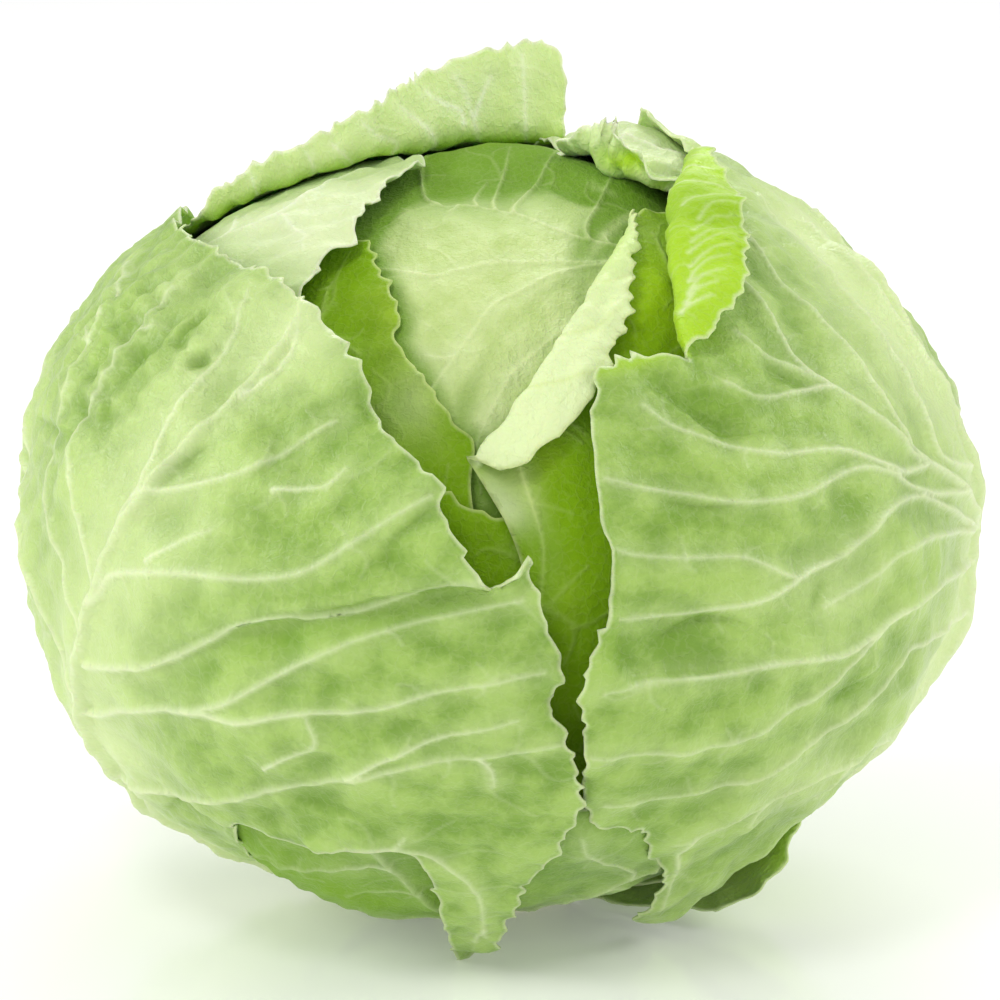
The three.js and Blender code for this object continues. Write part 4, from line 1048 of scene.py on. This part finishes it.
        bulges=[[[-56, -52], 30, 9, 65, -2.2], [[-44, -35], 8, 6, 0, -1.6]],
        pale_and_lit_patches=[
            [[-80, 0], 20, 50, 0, 0.6], [[-58, 38], 20, 12, 0, 0.25], [[-30, 34], 12, 8, -40, 0.2],
            [[-58, -24], 22, 10, 0, 0.4], [[-31, 21], 17, 13, 40, -0.45],
        ],
        shade_patches=[[[-18, 0], 30, 3, 15, 0.4]],
        creases=[
            [2.4, 2.2, 1.2, [[-49, 35.5], [-49.5, 33], [-50, 31], [-51, 29.5]]],
            [1.8, 1.6, 1.2, [[-43, 29.5], [-44, 28], [-45, 27]]],
            [1.4, 1.4, 1.4, [[-65.5, 28.5], [-63, 29.5], [-61, 30.5]]],
            [1.4, 1, 1.8, [[-66, 19], [-62.5, 18.5], [-59.5, 18]]],
            [1.2, 1, 1.8, [[-80, 14], [-68.5, 15], [-61.5, 15]]],
            [1.3, 0.8, 2.6, [[-44, 12.5], [-42.5, 15], [-40, 17], [-37.5, 19]]],
            [1, 0.8, 1.6, [[-30, 16], [-27, 19], [-24, 21]]], [1, 1, 1.4, [[-57.5, 22], [-56.5, 18]]],
            [1.2, 1, 5, [[-39, -4.5], [-36, -3], [-27, 0.5], [-18.5, 2.5], [-11.5, 4], [-5.5, 5.5],
                [1, 7]]],
            [1.2, 0.8, 1.8, [[-13, 8], [-12.5, 10], [-10, 12.5], [-7, 15]]],
            [1.2, 0.8, 2.5, [[-60.5, -34.5], [-54, -31], [-48.5, -30], [-44, -33]]],
            [0.9, 2, 0.8, [[-19.5, 29], [-18.5, 26.5], [-16, 23]]],
        ],
        dents=[
            [[-55.5, 26.5], 6, 6, 0, -1.6], [[-39, 25], 4, 6, 0, -1.3], [[-41, 9.5], 7, 5, 30, -1.4],
            [[-30, 8], 9, 4, 10, -0.8], [[-27, -9], 10, 5, 5, -0.8], [[-24, -24], 12, 5, 8, -0.7],
            [[-2, -24], 6, 9, 0, -0.7], [[-47, -26], 8, 5, 0, -0.7], [[-15, -2], 9, 4, 10, -0.7],
            [[-66, 34], 5, 9, 20, 1.2], [[-72, 22], 4, 8, 20, 1.3], [[-46, 37], 4, 8, 30, 1],
        ],
        folds=[
            [[-88, 8], 42, 8, 88, 0.6], [[-62, 30], 26, 9, 65, 0.9], [[-70, -12], 22, 8, 80, 0.3],
            [[-72, 26], 10, 3.4, 60, 0.45],
        ],
    ),
), dict(
    name="base_right_leaf", slot="base_leaf", centre=[98, -52], depth=-1.4, thick=1.1,
    margin=[
        [64, -78], [61, -66], [61, -57, 1, 1], [66, -51, 1], [74, -47.5], [88, -43.5, 1], [110, -41, 1],
        [130, -45], [142, -58], [142, -78], [126, -78], [110, -78], [94, -78], [79, -78],
    ],
    bumps=[[60, -54, 24, 8]],
    veins=[
        [2, 3, [[102, -74], [100, -63], [98, -53], [98, -46]]],
        [0.8, 2, [[99, -63], [86, -56], [77, -51]], [[101, -61], [114, -54], [126, -50]]],
    ],
    look=dict(glows=[[[84, -50], 34, 16, 0, 0.75]], pale_and_lit_patches=[[[74, -50], 26, 16, 0, 0.9]]),
)]


# ------------------------------------------------------------------------------------------------
# Materials

class Nodes:
    """A short way to lay out a node material. An input is a number, a colour or a socket."""

    def __init__(self, name):
        self.material = bpy.data.materials.new(name)
        self.material.use_nodes = True
        self.tree = self.material.node_tree
        self.tree.nodes.clear()

    def add(self, kind, inputs=None, **settings):
        node = self.tree.nodes.new("ShaderNode" + kind)
        for key, value in settings.items():
            setattr(node, key, value)
        for key, value in (inputs or {}).items():
            if isinstance(value, bpy.types.NodeSocket):
                self.tree.links.new(value, node.inputs[key])
            else:
                node.inputs[key].default_value = value
        return node

    def attribute(self, name, output="Fac"):
        return self.add("Attribute", attribute_name=name).outputs[output]

    def math(self, operation, *values):
        return self.add("Math", dict(enumerate(values)), operation=operation).outputs[0]

    def times(self, value, factor):
        return self.math("MULTIPLY", value, factor)

    def rise(self, value, low, high):
        """0 below low and 1 above high."""
        inputs = {0: value, 1: low, 2: high, 3: 0.0, 4: 1.0}
        return self.add("MapRange", inputs, interpolation_type="SMOOTHSTEP").outputs[0]

    def fall(self, value, low, high):
        """1 below low and 0 above high."""
        return self.math("SUBTRACT", 1.0, self.rise(value, low, high))

    def mix(self, share, a, b):
        return self.add("Mix", {0: share, 6: a, 7: b}, data_type="RGBA").outputs[2]

    def noise(self, vector, scale, detail, rough=0.5, dimensions="2D"):
        inputs = {"Vector": vector, "Scale": scale, "Detail": detail, "Roughness": rough}
        return self.add("TexNoise", inputs, noise_dimensions=dimensions)

    def bump(self, height, strength):
        return self.add("Bump", {"Height": height, "Strength": strength, "Distance": 1.0 * MM}).outputs[0]

    def finished(self, inputs):
        """The material, with a principled shader that has these inputs."""
        shader = self.add("BsdfPrincipled", inputs)
        self.add("OutputMaterial", {"Surface": shader.outputs[0]})
        return self.material


def colour(r, g, b):
    """An sRGB colour, 0 to 255, as the linear colour of a socket."""
    linear = [c / 255 / 12.92 if c <= 10 else ((c / 255 + 0.055) / 1.055) ** 2.4 for c in (r, g, b)]
    return (*linear, 1.0)


PAINTED_SHADE = colour(124, 168, 8)      # painted shade: the green of a leaf in shelter, lit through its neighbours
LIT_THROUGH = colour(174, 216, 22)   # a fold with light coming through it
PAINTED_HOLLOW_SHADE = colour(112, 152, 36)        # painted shade at the bottoms of creases and dents
LEAF_PAINTS = {                      # by slot; deep is the darker green that the blade varies to
    "outer_leaf": dict(
        name="leaf_outer", gloss=0.38, blade=colour(167, 199, 98), deep=colour(123, 161, 54),
        vein=colour(230, 240, 194), inner=colour(160, 206, 56), pale=colour(210, 229, 160)),
    "crown_leaf": dict(
        name="leaf_crown", gloss=0.38, blade=colour(188, 216, 100), deep=colour(154, 192, 66),
        vein=colour(242, 247, 218), inner=colour(206, 234, 118), pale=colour(228, 239, 194)),
    "inner_leaf": dict(
        name="leaf_inner", gloss=0.12, blade=colour(150, 184, 46), deep=colour(118, 152, 22),
        vein=colour(212, 228, 150), inner=colour(200, 226, 140), pale=colour(226, 242, 182)),
    "heart_leaf": dict(
        name="leaf_heart", gloss=0.2, blade=colour(202, 222, 142), deep=colour(172, 200, 96),
        vein=colour(224, 236, 176), inner=colour(184, 212, 100), pale=colour(222, 234, 184),
        shade_paint=colour(104, 150, 2)),
    "base_leaf": dict(
        name="leaf_base", gloss=0.38, blade=colour(152, 184, 90), deep=colour(108, 146, 48),
        vein=colour(216, 228, 180), inner=colour(144, 186, 54), pale=colour(194, 212, 150)),
}


def leaf_material(name, gloss, blade, deep, vein, inner, pale, shade_paint=PAINTED_SHADE):
    n = Nodes(name)
    flat = n.attribute("flat", "Vector")
    shade = n.attribute("shade")

    # the finest veins are a net of cells whose edges are bent, with the blade's grain between them
    shake = n.noise(flat, 0.5, 1.0).outputs["Color"]
    bent = n.add("VectorMath", {0: shake, 1: (2.6, 2.6, 0.0), 2: flat}, operation="MULTIPLY_ADD").outputs[0]
    cells = {"Vector": bent, "Scale": 0.36}
    net = n.add("TexVoronoi", cells, feature="DISTANCE_TO_EDGE", voronoi_dimensions="2D")
    net_share = n.fall(net.outputs["Distance"], 0.0, 0.16)
    grain = n.noise(flat, 0.45, 3.0, 0.6).outputs[0]
    ratio = n.math("DIVIDE", n.attribute("small_vein"), n.attribute("small_width"))
    small_share = n.fall(ratio, 0.0, 1.5)
    # veins fade where shade is painted
    vein_share = n.math("SUBTRACT", 0.74, n.times(shade, 0.4))

    # each layer of colour is laid over the ones before it
    # the leaf's own blotchy tone with painted shading on its ripples and wrinkles, and its grain
    tone_and_shading = n.math("ADD", n.attribute("tone_and_shading"), n.times(n.math("SUBTRACT", grain, 0.5), 0.6))
    face = n.mix(n.rise(tone_and_shading, 0.0, 1.0), deep, blade)
    layers = [
        (n.times(n.attribute("inner_side"), 0.6), inner),
        (n.attribute("pale"), pale),
        (n.times(n.fall(n.attribute("from_large"), 0.4, 6.0), 0.22), pale),
        (n.times(n.fall(n.attribute("elevation"), -78.0, -42.0), 0.3), pale),
        # painted shade in shelter, painted light coming through folds, and painted shade in creases and dents
        (n.times(shade, 0.9), shade_paint),
        (n.attribute("glow"), LIT_THROUGH),
        (n.times(n.attribute("hollow_shade"), 0.75), PAINTED_HOLLOW_SHADE),
        (n.times(net_share, 0.055), vein),
        (n.times(small_share, 0.12), vein),
        (n.times(n.attribute("vein"), vein_share), vein),
        (n.times(n.fall(n.attribute("from_margin"), 0.0, 1.1), 0.6), vein),
    ]
    for share, paint in layers:
        face = n.mix(share, face, paint)

    height = n.math("ADD", n.times(small_share, 0.12), n.times(net_share, 0.06))
    height = n.math("ADD", height, n.times(grain, 0.45))
    rough = n.add("MapRange", {0: grain, 1: 0.3, 2: 0.7, 3: 0.33, 4: 0.48}).outputs[0]
    rough = n.math("ADD", rough, n.times(shade, 0.4))
    return n.finished({
        "Base Color": face, "Roughness": rough, "Normal": n.bump(height, 0.9),
        "Subsurface Weight": 0.15, "Subsurface Radius": (0.9, 1.5, 0.2), "Subsurface Scale": 0.8 * MM,
        "Specular IOR Level": gloss, "Sheen Weight": 0.25 * gloss, "Sheen Roughness": 0.45,
    })


def stem_material():
    n = Nodes("stem_flesh")
    place = n.add("TexCoord").outputs["Object"]
    rings = n.add("TexWave", {"Vector": place, "Scale": 90.0, "Distortion": 6.0, "Detail": 3.0},
                  wave_type="RINGS", rings_direction="Z").outputs["Fac"]
    speck = n.noise(place, 900.0, 3.0, dimensions="3D").outputs[0]
    flesh = n.mix(n.times(rings, 0.35), colour(222, 224, 170), colour(196, 200, 132))
    flesh = n.mix(n.rise(speck, 0.56, 0.70), flesh, colour(160, 150, 92))
    face = n.mix(n.attribute("cut"), colour(206, 220, 150), flesh)
    height = n.math("ADD", n.times(rings, 0.3), n.times(speck, 0.3))
    return n.finished({
        "Base Color": face, "Roughness": 0.6, "Normal": n.bump(height, 0.7),
        "Subsurface Weight": 0.2, "Subsurface Radius": (1.0, 1.2, 0.4), "Subsurface Scale": 2.0 * MM,
    })


def floor_material():
    return Nodes("pale_floor").finished({
        "Base Color": (0.96, 0.96, 0.95, 1.0), "Roughness": 0.14,
        "Emission Color": (1.0, 1.0, 1.0, 1.0), "Emission Strength": 0.15,
    })


# ------------------------------------------------------------------------------------------------
# The closed heart and the stem

UP = np.array([0, 0, 1.0])
CORE_DEPTH = HEART_DEPTH + 1.9       # just under the leaf that closes over it
CORE_STEP, CORE_END = 3.0, 84        # degrees between its points, and up or down to its last rings
CORE_FOLD = 0.6                      # height of its soft folds

STUMP_SIDES = 144
STUMP_LOBES, LOBE_DEPTH = 5, 0.5
STUMP_RIDGES, RIDGE_HEIGHTS = (9, 13, 17, 22, 31), (0.04, 0.12)
STUMP_DISH = 0.35                    # how far up the middle of the cut face is
STUMP_SINK = 0.4                     # how far below the heart's surface the stump's top is
STUMP_PROFILE = [                    # share of the radius, height
    [0.15, STUMP_DISH], [0.4, 0.3], [0.7, 0.15], [0.86, 0.0], [0.93, 0.0], [0.965, 0.25], [0.99, 0.8],
    [1.0, 1.6], [0.998, 3], [0.99, 4.6], [0.985, 6], [0.97, 8], [0.95, 10], [0.92, 12],
]
TOP_SHARE, TOP_BEVEL = 0.89, 3       # its last ring: share of the radius, how far under the top
CUT_BELOW = 0.6                      # height under which it shows its cut flesh


def ringed(rings, low, high):
    """Points and faces of a closed body of rings, each with the same number of points, and two poles."""
    m, last = len(rings[0]), len(rings) * len(rings[0])
    points = np.concatenate([*rings, [low], [high]])
    i = np.arange(m)
    j = (i + 1) % m
    faces = []
    for k in range(len(rings) - 1):
        a, b, c, d = k * m + i, k * m + j, (k + 1) * m + i, (k + 1) * m + j
        faces += [np.stack([a, b, d], -1), np.stack([a, d, c], -1)]
    faces.append(np.stack([np.full(m, last), j, i], -1))
    faces.append(np.stack([np.full(m, last + 1), last - m + i, last - m + j], -1))
    return points, np.concatenate(faces)


def heart_core(material):
    """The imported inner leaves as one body, just under the leaf that closes over them."""
    azimuth = np.arange(0, 360, CORE_STEP)
    rings = []
    for level in np.arange(-CORE_END, CORE_END + 1, CORE_STEP):
        p = np.stack([azimuth, np.full_like(azimuth, level)], -1)
        folds = CORE_FOLD * np.sin(np.radians(3 * p[:, 0] + 2.2 * p[:, 1])) * np.cos(np.radians(p[:, 1]))
        d = direction(p)
        rings.append(HEAD_MIDDLE + d * (head_surface(d, CORE_DEPTH) + folds)[:, None])
    poles = [HEAD_MIDDLE + d * head_surface(d, CORE_DEPTH) for d in (-UP, UP)]
    points, faces = ringed(rings, *poles)
    nothing = np.zeros(len(points))
    # the hidden core is painted in full shade, with painted light coming through
    return mesh_object("heart_core", points, faces, material, {
        "vein": nothing, "small_vein": nothing + NO_SMALL_VEIN, "small_width": nothing + 1,
        "from_large": nothing + FAR, "from_margin": nothing + FAR, "inner_side": nothing,
        "elevation": elevation_of(unit(points - HEAD_MIDDLE)), "tone_and_shading": nothing + 0.5,
        "shade": nothing + 1, "pale": nothing, "glow": nothing + 0.6, "hollow_shade": nothing, "flat": points,
    })


def stem_piece(material):
    """The cut stump: lobed skin where leaf bases were, a bevel and a slightly dished, fibrous face."""
    top = HEAD_MIDDLE[2] - head_surface(-UP, HEART_DEPTH) - STUMP_SINK
    m = STUMP_SIDES
    turn = np.arange(m) / m * 2 * np.pi
    lobes = -LOBE_DEPTH + LOBE_DEPTH * np.cos(STUMP_LOBES * turn + 0.6)
    random = np.random.default_rng(5)
    skin = sum(random.uniform(*RIDGE_HEIGHTS) * np.sin(k * turn + random.uniform(0, 6)) for k in STUMP_RIDGES)
    rings = []
    for share, z in [*STUMP_PROFILE, [TOP_SHARE, top - TOP_BEVEL]]:
        r = (STEM_RADIUS + lobes + skin * min(1, z / 1.5)) * share
        rough = 0.05 * np.sin(turn * 23 + share * 40) * (z < 0.5) * (z > 0.02)
        rings.append(np.stack([r * np.cos(turn), r * np.sin(turn), np.full(m, z) + rough], -1))
    points, faces = ringed(rings, [0, 0, STUMP_DISH], [0, 0, top])
    cut = (points[:, 2] < CUT_BELOW).astype(float)
    return mesh_object("stem_stump", points, faces, material, {"cut": cut})


# ------------------------------------------------------------------------------------------------
# Putting it together

FIRST_SEED = 101
FLOOR_HALF, FLOOR_DROP = 6.0, 0.0001
WORLD_LIGHT = 0.68
LIT_POINT = Vector((0, 0, 0.09))
LIGHTS = [                   # name, place, size in metres, power
    ("key_top_front", (-0.5, -1.0, 1.4), 0.45, 6),
    ("rim_left", (-1.3, -0.1, 0.7), 0.5, 5.5),
    ("rim_right", (1.3, 0.0, 0.8), 0.5, 5.5),
    ("top_back", (0.1, 1.2, 1.2), 0.8, 6.5),
    ("low_front", (-0.2, -1.7, 0.16), 0.9, 2),
]
CAMERA_TARGET = Vector((0, 0, 0.091))
CAMERA_ELEVATION = math.radians(14)
CAMERA_DISTANCE = 1.2
CAMERA_LIFT = 0.00299
FRAME_WIDTH = 0.23
SENSOR_WIDTH = 36


def add_piece(piece, node):
    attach(piece, "root")
    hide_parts(node)


def build():
    materials = {slot: leaf_material(**paint) for slot, paint in LEAF_PAINTS.items()}
    leaves = [Leaf(source, FIRST_SEED + i) for i, source in enumerate(LEAVES)]
    for leaf in leaves:
        outer = [other for other in leaves if other.depth < leaf.depth]
        add_piece(leaf_blade(leaf, outer, materials[leaf.slot]), leaf.node)
    add_piece(heart_core(materials["heart_leaf"]), "heart")
    add_piece(stem_piece(stem_material()), "stem")


def set_stage():
    mesh = bpy.data.meshes.new("floor")
    corners = [(FLOOR_HALF * x, FLOOR_HALF * y, 0) for x, y in ((-1, -1), (1, -1), (1, 1), (-1, 1))]
    mesh.from_pydata(corners, [], [(0, 1, 2, 3)])
    mesh.materials.append(floor_material())
    floor = bpy.data.objects.new("floor", mesh)
    floor.location.z = -FLOOR_DROP
    bpy.context.scene.collection.objects.link(floor)
    world = bpy.data.worlds.new("soft_white")
    world.use_nodes = True
    background = world.node_tree.nodes["Background"].inputs
    background["Color"].default_value = (1, 1, 1, 1)
    background["Strength"].default_value = WORLD_LIGHT
    bpy.context.scene.world = world
    for name, place, size, power in LIGHTS:
        light = bpy.data.lights.new(name, "AREA")
        light.shape, light.size, light.energy = "DISK", size, power
        obj = bpy.data.objects.new(name, light)
        obj.location = place
        obj.rotation_euler = (LIT_POINT - Vector(place)).to_track_quat("-Z", "Y").to_euler()
        bpy.context.scene.collection.objects.link(obj)


def set_camera():
    back = Vector((0, -math.cos(CAMERA_ELEVATION), math.sin(CAMERA_ELEVATION)))
    up = Vector((0, math.sin(CAMERA_ELEVATION), math.cos(CAMERA_ELEVATION)))
    data = bpy.data.cameras.new("camera")
    data.sensor_width = SENSOR_WIDTH
    data.lens = SENSOR_WIDTH * CAMERA_DISTANCE / FRAME_WIDTH
    camera = bpy.data.objects.new("camera", data)
    place = CAMERA_TARGET + back * CAMERA_DISTANCE + up * CAMERA_LIFT
    camera.matrix_world = Matrix.Translation(place) @ back.to_track_quat("Z", "Y").to_matrix().to_4x4()
    bpy.context.scene.collection.objects.link(camera)
    bpy.context.scene.camera = camera


build()
set_stage()
set_camera()
bpy.context.scene.view_settings.view_transform = "Standard"
cycles = bpy.context.scene.cycles
cycles.max_bounces, cycles.diffuse_bounces, cycles.glossy_bounces, cycles.transmission_bounces = 6, 4, 2, 4
